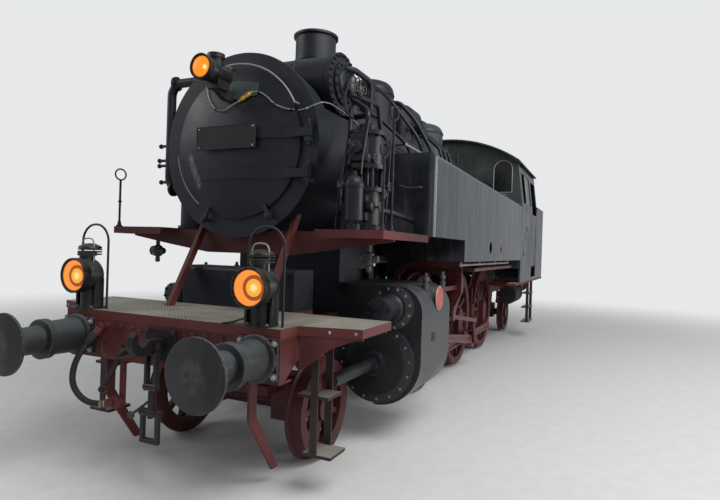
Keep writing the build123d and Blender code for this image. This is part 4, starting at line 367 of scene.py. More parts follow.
def piece(name, shells, look, body="engine"):
    """Puts shells into one mesh object that rides on a body, smooth except over edges sharper than the
    angle."""
    points, faces = join(*shells) if isinstance(shells, list) else shells
    mesh = bpy.data.meshes.new(name)
    mesh.vertices.add(len(points))
    mesh.vertices.foreach_set("co", points.astype(np.float32).ravel())
    corners = np.concatenate([f.ravel() for f in faces])
    sizes = np.concatenate([np.full(len(f), f.shape[1]) for f in faces])
    mesh.loops.add(len(corners))
    mesh.loops.foreach_set("vertex_index", corners.astype(np.int32))
    mesh.polygons.add(len(sizes))
    mesh.polygons.foreach_set("loop_start", (np.cumsum(sizes) - sizes).astype(np.int32))
    mesh.update(calc_edges=True)
    mesh.validate()
    mesh.polygons.foreach_set("use_smooth", np.ones(len(sizes), bool))
    mesh.set_sharp_from_angle(angle=SHARP_ANGLE)
    return put(name, mesh, FINISHES[look], body)


def spline_cord(name, points, radius, look):
    """A round cord along one open smooth spline with the points as its control points."""
    data = bpy.data.curves.new(name, "CURVE")
    data.dimensions = "3D"
    line = data.splines.new("NURBS")
    line.points.add(len(points) - 1)
    for knot, place in zip(line.points, points):
        knot.co = (*place, 1)
    line.order_u = 3
    line.use_endpoint_u = True
    line.resolution_u = 12
    data.bevel_depth = radius
    data.bevel_resolution = 5
    data.use_fill_caps = True
    return put(name, data, FINISHES[look], "engine")


# Finishes
class Finish:
    """A node material under way: its shader and short ways to the nodes that the finishes share."""

    def __init__(self, name, colour, rough=0.5, metal=0.0, specular=0.5, coat=0.0):
        """A new material with plain values; place and facing are the object coordinates and the normal."""
        self.name = name
        self.made = bpy.data.materials.new(name)
        self.made.use_nodes = True
        self.tree = self.made.node_tree
        self.shader = self.tree.nodes["Principled BSDF"]
        for socket, value in (("Base Color", (*colour, 1)), ("Roughness", rough), ("Metallic", metal),
                              ("Specular IOR Level", specular), ("Coat Weight", coat),
                              ("Coat Roughness", 0.1)):
            self.shader.inputs[socket].default_value = value
        self.place = self.add("TexCoord").outputs["Object"]
        self.facing = self.add("NewGeometry").outputs["Normal"]

    def feed(self, socket, value):
        """A link where the value is another node's socket, else a constant; a colour gets its fourth
        number."""
        if isinstance(value, bpy.types.NodeSocket):
            self.tree.links.new(value, socket)
        else:
            socket.default_value = (*value, 1) if socket.type == "RGBA" else value

    def add(self, kind, **inputs):
        """A new shader node with its named inputs fed; From_Min stands for the input From Min."""
        node = self.tree.nodes.new("ShaderNode" + kind)
        for name, value in inputs.items():
            self.feed(node.inputs[name.replace("_", " ")], value)
        return node

    def noise(self, scale, detail, rough=0.55, stretch=None):
        """Cloudy values from 0 to 1, the place first multiplied by stretch where it is given."""
        place = self.place
        if stretch:
            place = self.add("Mapping", Scale=stretch, Vector=place).outputs["Vector"]
        node = self.add("TexNoise", Scale=scale, Detail=detail, Roughness=rough, Vector=place)
        return node.outputs["Fac"]

    def band(self, value, low, high, out_low=0.0, out_high=1.0):
        """A value from low to high carried over to out_low to out_high, with soft ends."""
        node = self.add("MapRange", From_Min=low, From_Max=high, To_Min=out_low, To_Max=out_high, Value=value)
        node.interpolation_type = "SMOOTHSTEP"
        return node.outputs["Result"]

    def maths(self, operation, first, second=0.0):
        """One sum of two numbers, by the name of its operation."""
        node = self.add("Math")
        node.operation = operation
        self.feed(node.inputs[0], first)
        self.feed(node.inputs[1], second)
        return node.outputs["Value"]

    def plus(self, first, second):
        """first + second."""
        return self.maths("ADD", first, second)

    def times(self, first, second):
        """first times second."""
        return self.maths("MULTIPLY", first, second)

    def minus(self, first, second):
        """first - second."""
        return self.maths("SUBTRACT", first, second)

    def vectors(self, operation, first, second=ORIGIN):
        """One sum of two vectors; a number comes out, except for ABSOLUTE, which gives a vector."""
        node = self.add("VectorMath")
        node.operation = operation
        self.feed(node.inputs[0], first)
        self.feed(node.inputs[1], second)
        return node.outputs["Vector" if operation == "ABSOLUTE" else "Value"]

    def split(self, vector):
        """The three numbers of a vector."""
        return self.add("SeparateXYZ", Vector=vector).outputs

    def blend(self, share, first, second):
        """The first colour where the share is 0, the second where it is 1."""
        node = self.add("Mix")
        node.data_type = "RGBA"
        for number, value in ((0, share), (6, first), (7, second)):
            self.feed(node.inputs[number], value)
        return node.outputs[2]

    def bump(self, height, strength, distance, under=None):
        """The normal tilted by the slope of height, on top of another such normal under it."""
        node = self.add("Bump", Strength=strength, Distance=distance, Height=height)
        if under:
            self.feed(node.inputs["Normal"], under)
        return node.outputs["Normal"]

    def edges(self, radius, speckle):
        """1 on edges, how far a normal averaged within the radius leaves the surface's own, broken by
        specks: worn edges, and on the casing's ends a painted highlight of the covers' rims."""
        node = self.add("Bevel", Radius=radius)
        node.samples = 4
        same = self.vectors("DOT_PRODUCT", node.outputs["Normal"], self.facing)
        return self.times(self.band(self.minus(1.0, same), 0.02, 0.14), self.band(speckle, 0.4, 0.6))

    def around(self, centre, reach, square=False):
        """1 within the half sizes reach about a centre: an ellipsoid with a soft skin, or a box with sharp
        sides."""
        node = self.add("Mapping", Location=[-c / r for c, r in zip(centre, reach)],
                        Scale=[1 / r for r in reach], Vector=self.place)
        if not square:
            return self.band(self.vectors("LENGTH", node.outputs["Vector"]), 0.5, 1.0, 1.0, 0.0)
        x, y, z = self.split(self.vectors("ABSOLUTE", node.outputs["Vector"]))
        return self.band(self.maths("MAXIMUM", x, self.maths("MAXIMUM", y, z)), 0.99, 1.0, 1.0, 0.0)

    def done(self, colour, rough=None, normal=None):
        """Links colour, roughness and normal to the shader and keeps the finish under its name."""
        for socket, source in (("Base Color", colour), ("Roughness", rough), ("Normal", normal)):
            if source is not None:
                self.feed(self.shader.inputs[socket], source)
        FINISHES[self.name] = self.made
        return self.made


def paint(name, colour, rough, dust, dust_colour=(0.16, 0.145, 0.12), worn=0.0, worn_colour=(0.2, 0.19, 0.18),
          streaks=0.3, specular=0.4, ripple=0.0, coat=0.0, areas=(), shaded_holes=(), scuffs=()):
    """Paint with cloudy tone, dust where it faces up, soot running down, fine speckle and bare edges. Areas
    are boxes in another colour, holes are round openings painted black without shine as their painted shade,
    scuffs are rubbed places: each a centre, half sizes, for an area and a scuff a colour, and for a scuff its
    share."""
    f = Finish(name, colour, specular=specular, coat=coat)
    clouds = f.noise(1.7, 4.0)
    speckle = f.noise(55.0, 2.0)
    runs = f.noise(1.0, 4.0, 0.6, stretch=(9.0, 9.0, 0.8))
    dark = tuple(c * 0.55 for c in colour)
    light = tuple(min(1.0, c * 1.35 + 0.002) for c in colour)
    tone = f.blend(f.band(clouds, 0.3, 0.7), dark, light)
    for centre, reach, other in areas:
        tone = f.blend(f.around(centre, reach, True), tone, other)
    soot = tuple(0.4 * c + 0.6 * d for c, d in zip(colour, dust_colour))
    tone = f.blend(f.times(f.band(runs, 0.52, 0.72), streaks), tone, soot)
    up = f.band(f.split(f.facing)[2], 0.25, 0.95)
    settled = f.times(f.times(up, f.band(clouds, 0.2, 0.65, 0.45, 1.0)), dust)
    tone = f.blend(settled, tone, dust_colour)
    shine = 1.0
    # Openings painted black with no shine: painted shade of their insides
    for centre, reach in shaded_holes:
        hole_shade = f.band(f.around(centre, reach), 0.2, 0.35)
        tone = f.blend(hole_shade, tone, (0.0, 0.0, 0.0))
        shine = f.times(shine, f.minus(1.0, hole_shade))
    if shaded_holes:
        f.feed(f.shader.inputs["Specular IOR Level"], f.times(shine, specular))
        f.feed(f.shader.inputs["Coat Weight"], f.times(shine, coat))
    if worn:
        bare = f.times(f.edges(0.008, speckle), worn)
        tone = f.blend(bare, tone, worn_colour)
    for centre, reach, other, share in scuffs:
        rubbed = f.times(f.around(centre, reach), f.band(f.noise(22.0, 4.0, 0.6), 0.38, 0.62, 0.35, 1.0))
        tone = f.blend(f.times(rubbed, share), tone, other)
    roughness = f.plus(f.band(clouds, 0.3, 0.7, rough[0], rough[1]), f.band(speckle, 0.3, 0.7, -0.04, 0.04))
    roughness = f.plus(roughness, f.times(settled, 0.35))
    normal = f.bump(speckle, 0.08, 0.002)
    if ripple:
        waves = f.noise(1.0, 2.5, 0.5, stretch=(7.0, 7.0, 0.9))
        dents = f.noise(1.3, 1.5, 0.5)
        normal = f.bump(waves, ripple, 0.02, f.bump(dents, ripple, 0.05, normal))
    return f.done(tone, roughness, normal)


def bare_metal(name, colour, rough, oil, metal):
    """Worked metal: fine lengthwise scratches, darker oily patches and rust freckles."""
    f = Finish(name, colour, metal=metal)
    patches = f.noise(3.0, 4.0, 0.6)
    scratches = f.noise(12.0, 3.0, 0.6, stretch=(1.0, 12.0, 12.0))
    speckle = f.noise(80.0, 2.0)
    tone = f.blend(f.band(scratches, 0.35, 0.65), tuple(c * 0.75 for c in colour), colour)
    tone = f.blend(f.times(f.band(patches, 0.5, 0.68), oil), tone, (0.03, 0.022, 0.015))
    tone = f.blend(f.times(f.band(speckle, 0.62, 0.74), 0.5 * oil), tone, (0.12, 0.05, 0.02))
    roughness = f.plus(f.band(patches, 0.4, 0.7, rough[0], rough[1]),
                       f.band(scratches, 0.3, 0.7, -0.05, 0.05))
    return f.done(tone, roughness, f.bump(scratches, 0.12, 0.002))


def casing():
    """Grey cylinder cladding whose ends, where the normal looks along the engine, are black, their edges
    light as a painted highlight of the covers' rims.
    """
    f = Finish("casing_grey", (0.06, 0.062, 0.065))
    clouds = f.noise(2.2, 4.0)
    speckle = f.noise(60.0, 2.0)
    runs = f.noise(1.0, 4.0, 0.6, stretch=(10.0, 10.0, 0.8))
    side = f.blend(f.band(clouds, 0.3, 0.7), (0.026, 0.028, 0.032), (0.052, 0.055, 0.06))
    side = f.blend(f.band(runs, 0.5, 0.75, 0.0, 0.45), side, (0.036, 0.031, 0.026))
    side = f.blend(f.edges(0.01, speckle), side, (0.36, 0.35, 0.33))
    front = f.blend(f.band(clouds, 0.3, 0.7), (0.006, 0.007, 0.01), (0.012, 0.013, 0.016))
    # The ends' edges lighter: a painted highlight of the covers' rims, drawn with the edge-wear mask
    front = f.blend(f.edges(0.012, speckle), front, (0.11, 0.11, 0.12))
    across = f.band(f.maths("ABSOLUTE", f.split(f.facing)[0]), 0.6, 0.75)
    beyond = f.band(f.split(f.place)[0], 3.925, 3.93)
    tone = f.blend(f.maths("MAXIMUM", across, beyond), side, front)
    return f.done(tone, f.band(clouds, 0.3, 0.7, 0.3, 0.5), f.bump(speckle, 0.08, 0.002))


def tread_plate():
    """Chequered steel floor: raised lozenges in two alternating directions, worn light on top and dusty
    between."""
    f = Finish("tread_plate", (0.25, 0.23, 0.19), specular=0.4)
    x, y, z = f.split(f.place)
    pitch = math.pi / 0.034
    a = f.maths("SINE", f.times(f.plus(x, y), pitch))
    b = f.maths("SINE", f.times(f.minus(x, y), pitch))
    lozenge = f.band(f.times(a, b), 0.25, 0.6)
    clouds = f.noise(2.4, 4.0)
    grit = f.noise(40.0, 3.0)
    tone = f.blend(f.band(clouds, 0.35, 0.7), (0.13, 0.12, 0.1), (0.23, 0.215, 0.18))
    middle = f.band(f.maths("ABSOLUTE", y), 1.0, 1.12, 1.0, 0.25)
    tone = f.blend(f.times(lozenge, f.times(middle, 0.85)), tone, (0.42, 0.4, 0.345))
    tone = f.blend(f.minus(0.9, middle), tone, (0.33, 0.31, 0.265))
    tone = f.blend(f.band(grit, 0.58, 0.72, 0.0, 0.5), tone, (0.08, 0.068, 0.05))
    under = f.band(f.split(f.facing)[2], 0.2, 0.7)
    # Sides and undersides red, darker red below about 1.1 m above the rail: painted shade of the low steps
    edge = f.blend(f.band(z, RAIL + 1.05, RAIL + 1.12), (0.03, 0.016, 0.016), (0.104, 0.022, 0.02))
    tone = f.blend(under, edge, tone)
    height = f.times(f.plus(lozenge, f.times(grit, 0.15)), under)
    return f.done(tone, f.band(clouds, 0.3, 0.7, 0.45, 0.7), f.bump(height, 0.5, 0.004))


def glow(name, colour, strength, centre, reach, ring):
    """A lit lens: amber reflector, a darker ring of weight ring round the bulb's opening, yellow at the
    bulb."""
    f = Finish(name, colour, rough=0.3, specular=0.2)
    distance = f.vectors("DISTANCE", f.place, centre)
    grain = f.noise(30.0, 2.0)
    tone = f.blend(f.band(grain, 0.35, 0.75, 0.0, 0.25), colour, tuple(c * 0.7 for c in colour))
    if ring:
        inner = f.band(distance, 0.42 * reach, 0.48 * reach)
        outer = f.band(distance, 0.62 * reach, 0.68 * reach, 1.0, 0.0)
        tone = f.blend(f.times(f.times(inner, outer), ring), tone, (0.22, 0.05, 0.012))
        tone = f.blend(f.band(distance, 0.4 * reach, 0.46 * reach, 0.8, 0.0), tone, (1.0, 0.42, 0.05))
    tone = f.blend(f.band(distance, 0.06 * reach, 0.3 * reach, 1.0, 0.0), tone, (1.0, 0.8, 0.3))
    f.feed(f.shader.inputs["Emission Color"], tone)
    f.feed(f.shader.inputs["Emission Strength"], strength)
    return f.done(f.blend(0.75, tone, (0.02, 0.01, 0.004)))


BLACK = (0.0062, 0.0075, 0.0115)
HOOK_BLACK = (0.008, 0.008, 0.009)
BARE = (0.2, 0.2, 0.165)
OLD_DUST = (0.07, 0.055, 0.04)
RED_DUST = (0.06, 0.04, 0.032)
RED_EDGE = (0.24, 0.07, 0.055)
DOOR_SCUFFS = [(at(4.83, y, z), (0.12, 0.045, 0.075), BARE, 0.75) for y, z in (
    (-0.452, 2.565), (-0.425, 2.5), (-0.395, 2.43), (-0.365, 2.37))]
DOOR_SCUFFS.append((at(4.86, 0.02, 3.02), (0.1, 0.2, 0.05), (0.03, 0.037, 0.036), 0.8))
HEAD_SCUFFS = [((end * 6.25, side * BUFFER_Y, BUFFER_Z), (0.03, 0.115, 0.135), (0.075, 0.066, 0.052), 0.7)
               for end in BOTH for side in BOTH]
PLATE_AREA = [(at(4.955, 0, 2.732), (0.04, 0.3145, 0.0975), (0.0035, 0.0038, 0.0045))]
HOOK_AREAS = [(at(end * x, 0, z), reach, HOOK_BLACK)
              for x, z, reach in ((5.772, 1.05, (0.17, 0.16, 0.13)), (5.812, 1.0, (0.17, 0.09, 0.3)))
              for end in BOTH]


def side_shaded_holes(*shaded_holes):
    """Round openings on both outer sides, painted black as their shade, from rows of x, height above the rail
    and radius.
    """
    return [(at(x, side * SIDE_Y, z), (r, 0.03, r)) for side in BOTH for x, z, r in shaded_holes]


paint("black_paint", BLACK, (0.3, 0.46), 0.16, (0.075, 0.085, 0.105), streaks=0.08)
paint("smokebox_paint", (0.0052, 0.007, 0.012), (0.34, 0.5), 0.25, (0.072, 0.08, 0.098), streaks=0.08,
      areas=PLATE_AREA, scuffs=DOOR_SCUFFS)
# Rear dome and cab front wall: a lighter grey-green that is a painted reflection of the sky, with dust on the
# tops
paint("pale_green", (0.034, 0.043, 0.043), (0.3, 0.46), 0.35, (0.11, 0.12, 0.115))
# Tank sides: two round openings painted black as painted shade
paint("tank_paint", (0.016, 0.0185, 0.025), (0.14, 0.26), 0.25, (0.15, 0.145, 0.11), streaks=0.35, ripple=0.6,
      coat=0.35, shaded_holes=side_shaded_holes((0.965, 1.889, 0.1), (0.166, 1.871, 0.06)))
# Cab sides: two round hand holes painted black as painted shade
paint("cab_paint", (0.0085, 0.0105, 0.016), (0.18, 0.34), 0.25, (0.13, 0.13, 0.11), ripple=0.4, coat=0.25,
      shaded_holes=side_shaded_holes((-2.68, 2.321, 0.06), (-2.282, 1.821, 0.06)))
paint("roof_paint", (0.018, 0.018, 0.02), (0.6, 0.8), 0.3, streaks=0.4)
paint("frame_red", (0.092, 0.0195, 0.02), (0.42, 0.62), 0.3, RED_DUST, 0.55, RED_EDGE, 0.4, 0.3)
paint("beam_red", (0.098, 0.0205, 0.02), (0.42, 0.62), 0.3, RED_DUST, 0.55, RED_EDGE, 0.4, 0.3,
      areas=HOOK_AREAS)
paint("wheel_red", (0.066, 0.0125, 0.0155), (0.42, 0.62), 0.3, RED_DUST, 0.4, RED_EDGE, 0.5, 0.3)
paint("rod_red", (0.1, 0.02, 0.022), (0.3, 0.5), 0.2, RED_DUST, 0.9, (0.42, 0.36, 0.34), 0.6)
paint("plate_red", (0.34, 0.06, 0.052), (0.35, 0.55), 0.15, worn=0.5, worn_colour=(0.5, 0.44, 0.4))
paint("undergear_black", (0.01, 0.01, 0.011), (0.5, 0.7), 0.25, (0.06, 0.05, 0.04))
paint("lamp_black", HOOK_BLACK, (0.3, 0.45), 0.3, worn=0.4, worn_colour=(0.22, 0.19, 0.15), streaks=0.2)
paint("buffer_grey", (0.015, 0.017, 0.019), (0.36, 0.52), 0.6, (0.1, 0.11, 0.115), 0.7, (0.26, 0.25, 0.23),
      scuffs=HEAD_SCUFFS)
paint("greasy_black", HOOK_BLACK, (0.3, 0.55), 0.25, OLD_DUST, 0.5, (0.13, 0.1, 0.075))
paint("bow_brown", (0.045, 0.016, 0.009), (0.4, 0.6), 0.2, worn=0.4, worn_colour=(0.14, 0.07, 0.04))
paint("bracket_grey", (0.03, 0.04, 0.04), (0.35, 0.5), 0.2, worn=0.5, streaks=0.2)
paint("hose_rubber", (0.011, 0.011, 0.011), (0.45, 0.65), 0.2, OLD_DUST)
# Window glass: glossy, opaque and nearly black, a painted shade of the cab inside seen through it
paint("pane", (0.01, 0.012, 0.012), (0.06, 0.14), 0.1, streaks=0.1, specular=0.5)
bare_metal("bright_steel", (0.19, 0.185, 0.175), (0.4, 0.6), oil=0.7, metal=1.0)
bare_metal("worn_steel", (0.3, 0.28, 0.25), (0.4, 0.65), oil=0.5, metal=0.8)
bare_metal("brass", (0.62, 0.42, 0.07), (0.28, 0.45), oil=0.25, metal=0.7)
bare_metal("dull_metal", (0.1, 0.1, 0.095), (0.45, 0.65), oil=0.5, metal=0.6)
bare_metal("wire_light", (0.36, 0.36, 0.34), (0.4, 0.6), oil=0.3, metal=0.4)
casing()
tread_plate()

# The construction model's nodes and their finishes
NODE_FINISH = {
    "smokebox_paint": "smokebox smokebox_door smokebox_saddle chimney feedwater_heater",
    "black_paint": "boiler steam_dome sand_dome exhaust_pipe feed_pump air_pump filler_lid_left "
                   "filler_lid_right",
    "tank_paint": "side_tank_left side_tank_right",
    # The rear dome and cab front wall take the lighter grey-green of the painted sky reflection
    "pale_green": "rear_dome cab_front_wall",
    "cab_paint": "cab_back_wall cab_side_left cab_side_right cab_door_left cab_door_right bunker",
    "roof_paint": "cab_roof",
    "frame_red": "main_frame running_boards lead_truck trail_truck brake_gear",
    "beam_red": "front_beam rear_beam",
    "wheel_red": "driver_main driver_front driver_rear lead_wheelset trail_wheelset",
    "casing_grey": "cylinder_left cylinder_right",
    "undergear_black": "air_reservoirs cab_floor",
    "lamp_black": "front_lamps rear_lamps top_lamp",
    "buffer_grey": "front_buffers rear_buffers",
    "greasy_black": "front_screw_coupling rear_screw_coupling",
    "hose_rubber": "front_brake_hose rear_brake_hose",
    "rod_red": "coupling_rod_left coupling_rod_right connecting_rod_left connecting_rod_right "
               "valve_gear_left valve_gear_right",
    "bright_steel": "crosshead_left crosshead_right",
    "tread_plate": "front_platform footboards_and_steps",
}
for look, members in NODE_FINISH.items():
    for member in members.split():
        nodes[member].data.materials.clear()
        nodes[member].data.materials.append(FINISHES[look])


# Pieces that only the picture needs, front first
# Brake hoses: free cords through the route points of the construction model, in millimetres
HOSE_ROUTE = [(5662, -640, 1070), (5732, -672, 985), (5782, -712, 850), (5790, -722, 700), (5752, -660, 585),
              (5700, -570, 540), (5664, -480, 556)]
HOSE_R = 0.023
for end_name, end in ENDS:
    route = [mm(end * x, end * y, z) for x, y, z in HOSE_ROUTE]
    hose = spline_cord(f"{end_name}_hose", route, HOSE_R, "hose_rubber")
    sleeve = piece(f"{end_name}_hose_sleeve", turned(
        [(0.033, -0.012), (0.034, 0.0), (0.034, 0.03), (0.029, 0.07), (0.0255, 0.09)],
        route[0], np.subtract(route[1], route[0]), 20), "hose_rubber")
    clamp = piece(f"{end_name}_hose_clamp", [turned(
        [(0.027, -d), (0.03, -d - 0.004), (0.03, -d - 0.016), (0.027, -d - 0.02)],
        route[-1], np.subtract(route[-1], route[-2]), 20) for d in (0.008, 0.036)], "worn_steel")
    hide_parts(f"{end_name}_brake_hose")

# Lit lamps: lens centre, lens radius, case's length, body, bulb's shift sideways and up, colour, strength
# and the ring's weight
AMBER = (1.0, 0.3, 0.05)
LAMPS = {
    "front_lamp_left": ((5700, 850, 1528), 0.132, 0.185, "engine", (0.048, 0.004), AMBER, 0.95, 0.9),
    "front_lamp_right": ((5700, -850, 1528), 0.132, 0.185, "engine", (0.052, 0.0), AMBER, 0.95, 0.9),
    "top_lamp": ((5274, 0, 3236), 0.095, 0.155, "smokebox_door", (0.05, -0.014), (1.0, 0.26, 0.012), 1.05,
                 0.0),
}
for name, (place, reach, back, body, shift, colour, strength, ring) in LAMPS.items():
    middle = np.array(mm(*place))
    glow(f"{name}_light", colour, strength, middle + (0.015, *shift), reach, ring)
    lens = [(reach - 0.012, 0.0005), (reach - 0.014, 0.006), (0.7 * reach, 0.013), (0.35 * reach, 0.017),
            (0, 0.018)]
    piece(f"{name}_lens", turned(lens, middle, X, 40), f"{name}_light", body)
    hood = [(reach + 0.004, -0.05), (reach + 0.008, -0.044), (reach + 0.008, 0.016), (reach + 0.003, 0.018),
            (reach + 0.002, -0.05)]
    case = [(reach, -0.03), (reach + 0.003, -0.035), (reach - 0.004, 0.015 - back), (reach - 0.02, -back),
            (0, -back - 0.004)]
    piece(f"{name}_rim", [
        torus(middle + (0.004, 0, 0), X, reach - 0.002, 0.005, 44), turned(hood, middle, X, 44, closed=True),
        turned(case, middle, X, 44),
    ], "lamp_black", body)
for side_name, side in SIDES:
    x, y, z = mm(5560, side * 850, 1528)
    top, foot_z = (x, y, z + 0.165), PLATFORM_Z + PLATE_THICK
    grip = [(x + 0.02, y + dy, z + dz) for dy, dz in ((-0.07, 0.11), (-0.07, 0.3), (0.07, 0.3), (0.07, 0.11))]
    piece(f"lamp_trim_{side_name}", [
        *[turned([(0.085, h), (0.095, h + 0.006), (0.085, h + 0.012)], top, Z, 28) for h in (0, 0.02, 0.04)],
        turned([(0.06, 0.05), (0.09, 0.055), (0.085, 0.07), (0.04, 0.092), (0, 0.096)], top, Z, 28),
        *[cuboid((x - 0.05, y + s - 0.009, foot_z), (x + 0.03, y + s + 0.009, z - 0.02), 0.003)
          for s in (-0.105, 0.105)],
        turned([(0.05, 0), (0.048, 0.012), (0, 0.016)], (x + 0.01, y + 0.11, z), Y, 20),
    ], "lamp_black")
    piece(f"lamp_grip_{side_name}", tube(grip, 0.006, 0.06, 10), "wire_light")
    feet = [(x + dx, y + dy, foot_z) for dx in (-0.06, 0.035) for dy in (-0.08, 0.08)]
    piece(f"lamp_bolts_{side_name}", bolts(0.011, 0.012, feet), "worn_steel")

# Smokebox door: rail on the ring, a thin light arc on the door's rim as a painted highlight, dogs, the
# plate's rivets and border
RAIL_X = RING_X + 0.078
RAIL_R = 0.694
piece("ring_handrail", [
    torus((RAIL_X, 0, BOILER_Z), X, RAIL_R, 0.0078, 48, 10, (188, 117)),
    *[rod(round_boiler(RING_X, turn, RAIL_R), round_boiler(RAIL_X, turn, RAIL_R), 0.009)
      for turn in (188, 152, 117)],
], "wire_light")
# A thin light arc just inside the door's edge: a painted highlight of the rim, drawn as a wire
piece("door_rim_highlight", torus((DOOR_X + 0.03, 0, BOILER_Z), X, 0.645, 0.0045, 40, 8, (-83, -36)), "wire_light",
      "smokebox_door")
DOG_R = 0.735
dogs = []
for turn in (31, 205, 335):
    head = round_boiler(RING_X + 0.05, turn, DOG_R)
    dogs += [
        rod(round_boiler(RING_X, turn, DOG_R), head + (0.02, 0, 0), 0.014),
        rod(round_boiler(RING_X + 0.05, turn, DOG_R + 0.03), round_boiler(RING_X + 0.052, turn, 0.625), 0.017,
            8),
        turned([(0.022, 0), (0.022, 0.02), (0.012, 0.026)], head + (0.012, 0, 0), X, 6),
    ]
piece("door_dogs", dogs, "black_paint")
PLATE_X = DOOR_X + DOOR_DISH + 0.0283
corners = [at(PLATE_X, y, z) for y in (-0.285, 0.285) for z in (2.652, 2.812)]
piece("plate_rivets", rivets(0.01, corners, X), "wire_light", "smokebox_door")
border = [at(PLATE_X, y, z) for y, z in ((-0.31, 2.634), (0.31, 2.634), (0.31, 2.83), (-0.31, 2.83))]
piece("plate_border", [rod(a, b, 0.0035, 6) for a, b in zip(border, border[1:] + border[:1])], "black_paint",
      "smokebox_door")
piece("lamp_bracket", door_patch([(-0.191, 0.557), (0.03, 0.545), (0.244, 0.511)],
                                 [(-0.156, 0.465), (-0.01, 0.366), (0.262, 0.398)], 0.004, 0.01),
      "bracket_grey", "smokebox_door")
piece("lamp_shelf",
      cuboid((DOOR_X + 0.09, -0.03, BOILER_Z + 0.405), (DOOR_X + 0.19, -0.02, BOILER_Z + 0.5), 0.002),
      "bracket_grey", "smokebox_door")

# Lamp wiring clipped to the door, its brass plug, and its run on along the boiler
CABLE_R = 0.0052
ON_DOOR = 0.0175
PLUG_RUN = [(0.092, 0.344), (0.218, 0.426)]
DOOR_RUNS = [
    [(-0.337, 0.549), (-0.267, 0.408), (-0.149, 0.297), (-0.058, 0.268), (0.028, 0.321), PLUG_RUN[0]],
    [PLUG_RUN[1], (0.273, 0.427), (0.354, 0.381), (0.429, 0.306), (0.531, 0.267), (0.596, 0.261)],
]
piece("lamp_cable_door",
      [tube([door_face(y, z, ON_DOOR) for y, z in run], CABLE_R, 0.09, 10) for run in DOOR_RUNS],
      "wire_light", "smokebox_door")
plug_ends = [door_face(y, z, ON_DOOR + 0.006) for y, z in PLUG_RUN]
plug_way = plug_ends[1] - plug_ends[0]
long = float(np.linalg.norm(plug_way))
piece("lamp_plug", turned([
    (0.008, 0), (0.013, 0.004), (0.013, 0.028), (0.02, 0.034), (0.02, 0.5 * long - 0.006),
    (0.016, 0.5 * long),
    (0.022, 0.5 * long + 0.006), (0.022, long - 0.03), (0.014, long - 0.024), (0.014, long - 0.004),
    (0.008, long),
], plug_ends[0], plug_way, 16), "brass", "smokebox_door")
clips = [door_face(y, z) for y, z in (
    (-0.337, 0.549), (-0.149, 0.297), (0.273, 0.427), (0.429, 0.306), (0.575, 0.262))]
clip = turned([(0.012, 0.0005), (0.012, 0.016), (0.008, 0.024), (0, 0.025)], ORIGIN, Z, 10)
piece("cable_clips_door", scattered(clip, clips, X), "black_paint", "smokebox_door")
ring_run = [(RING_X + 0.008, y, BOILER_Z + z) for y, z in (
    (0.616, 0.261), (0.665, 0.265), (0.72, 0.277), (0.752, 0.289))]
ring_run += [(x, y, BOILER_Z + z) for x, y, z in (
    (RING_X - 0.012, 0.828, 0.318), (4.6, 0.826, 0.345), (4.37, 0.832, 0.33), (4.06, 0.838, 0.29))]
piece("lamp_cable_ring", [
    tube(ring_run, CABLE_R, 0.05, 10),
    turned([(0.011, -0.008), (0.011, 0.014), (0.006, 0.018)], (RING_X, 0.7, BOILER_Z + 0.272), X, 10),
], "wire_light")

# Front and rear end: bolts, buffer rings, chain and heating pipe
HOOK_PLATE_X = BEAM_X + 0.022
BUFFER_PLATE_X = BEAM_X + 0.026
BEAM_BOLTS = ((0.3, 0.93), (0.3, 1.15), (0.42, 0.93), (0.42, 1.15), (0.56, 1.15), (0.22, 0.95), (0.22, 1.13))
CHAIN = ((5.606, -0.62, 1.00), (5.66, -0.56, 0.925), (5.675, -0.42, 0.905), (5.66, -0.28, 0.935),
         (5.606, -0.2, 0.97))
HEATING_PIPE = ((5.602, -0.36, 0.99), (5.655, -0.375, 0.93), (5.672, -0.43, 0.8), (5.674, -0.5, 0.7),
                (5.652, -0.56, 0.645))
for end_name, end in ENDS:
    axis = (end, 0, 0)
    heads = [at(end * (BEAM_X + 0.0005), side * y, z) for side in BOTH for y, z in BEAM_BOLTS]
    piece(f"{end_name}_beam_bolts", bolts(0.017, 0.018, heads, axis), "frame_red")
    heads = [(end * HOOK_PLATE_X, dy, BUFFER_Z + dz) for dy in (-0.125, 0.125) for dz in (-0.095, 0.095)]
    piece(f"{end_name}_hook_bolts", bolts(0.017, 0.018, heads, axis), "greasy_black")
    heads = [(end * BUFFER_PLATE_X, side * BUFFER_Y + dy, BUFFER_Z + dz)
             for side in BOTH for dy in (-0.14, 0.14) for dz in (-0.11, 0.11)]
    piece(f"{end_name}_buffer_bolts", bolts(0.016, 0.02, heads, axis), "wire_light")
    piece(f"{end_name}_buffer_rings", [
        turned(profile, (end * BUFFER_PLATE_X, side * BUFFER_Y, BUFFER_Z), axis, 40) for side in BOTH
        for profile in (
            [(0.152, 0.0), (0.165, 0.006), (0.165, 0.03), (0.15, 0.04)],
            [(0.143, 0.27), (0.152, 0.276), (0.152, 0.33), (0.143, 0.336)])
    ], "buffer_grey")
    chain = [at(end * x, end * y, z) for x, y, z in CHAIN]
    piece(f"{end_name}_chain", [
        tube(chain, 0.0075, 0.08, 8),
        scattered(turned([(0.012, -0.008), (0.014, 0), (0.012, 0.012)], ORIGIN, Z, 10), [chain[0], chain[-1]],
                  axis),
    ], "bow_brown")
    pipe = [at(end * x, end * y, z) for x, y, z in HEATING_PIPE]
    piece(f"{end_name}_heating_pipe", [
        tube(pipe, 0.021, 0.09, 14),
        rod(pipe[-2], pipe[-1], 0.026, 14),
        turned([(0.024, -0.004), (0.034, 0), (0.034, 0.02), (0.024, 0.026)], pipe[0], axis, 16),
    ], "greasy_black")

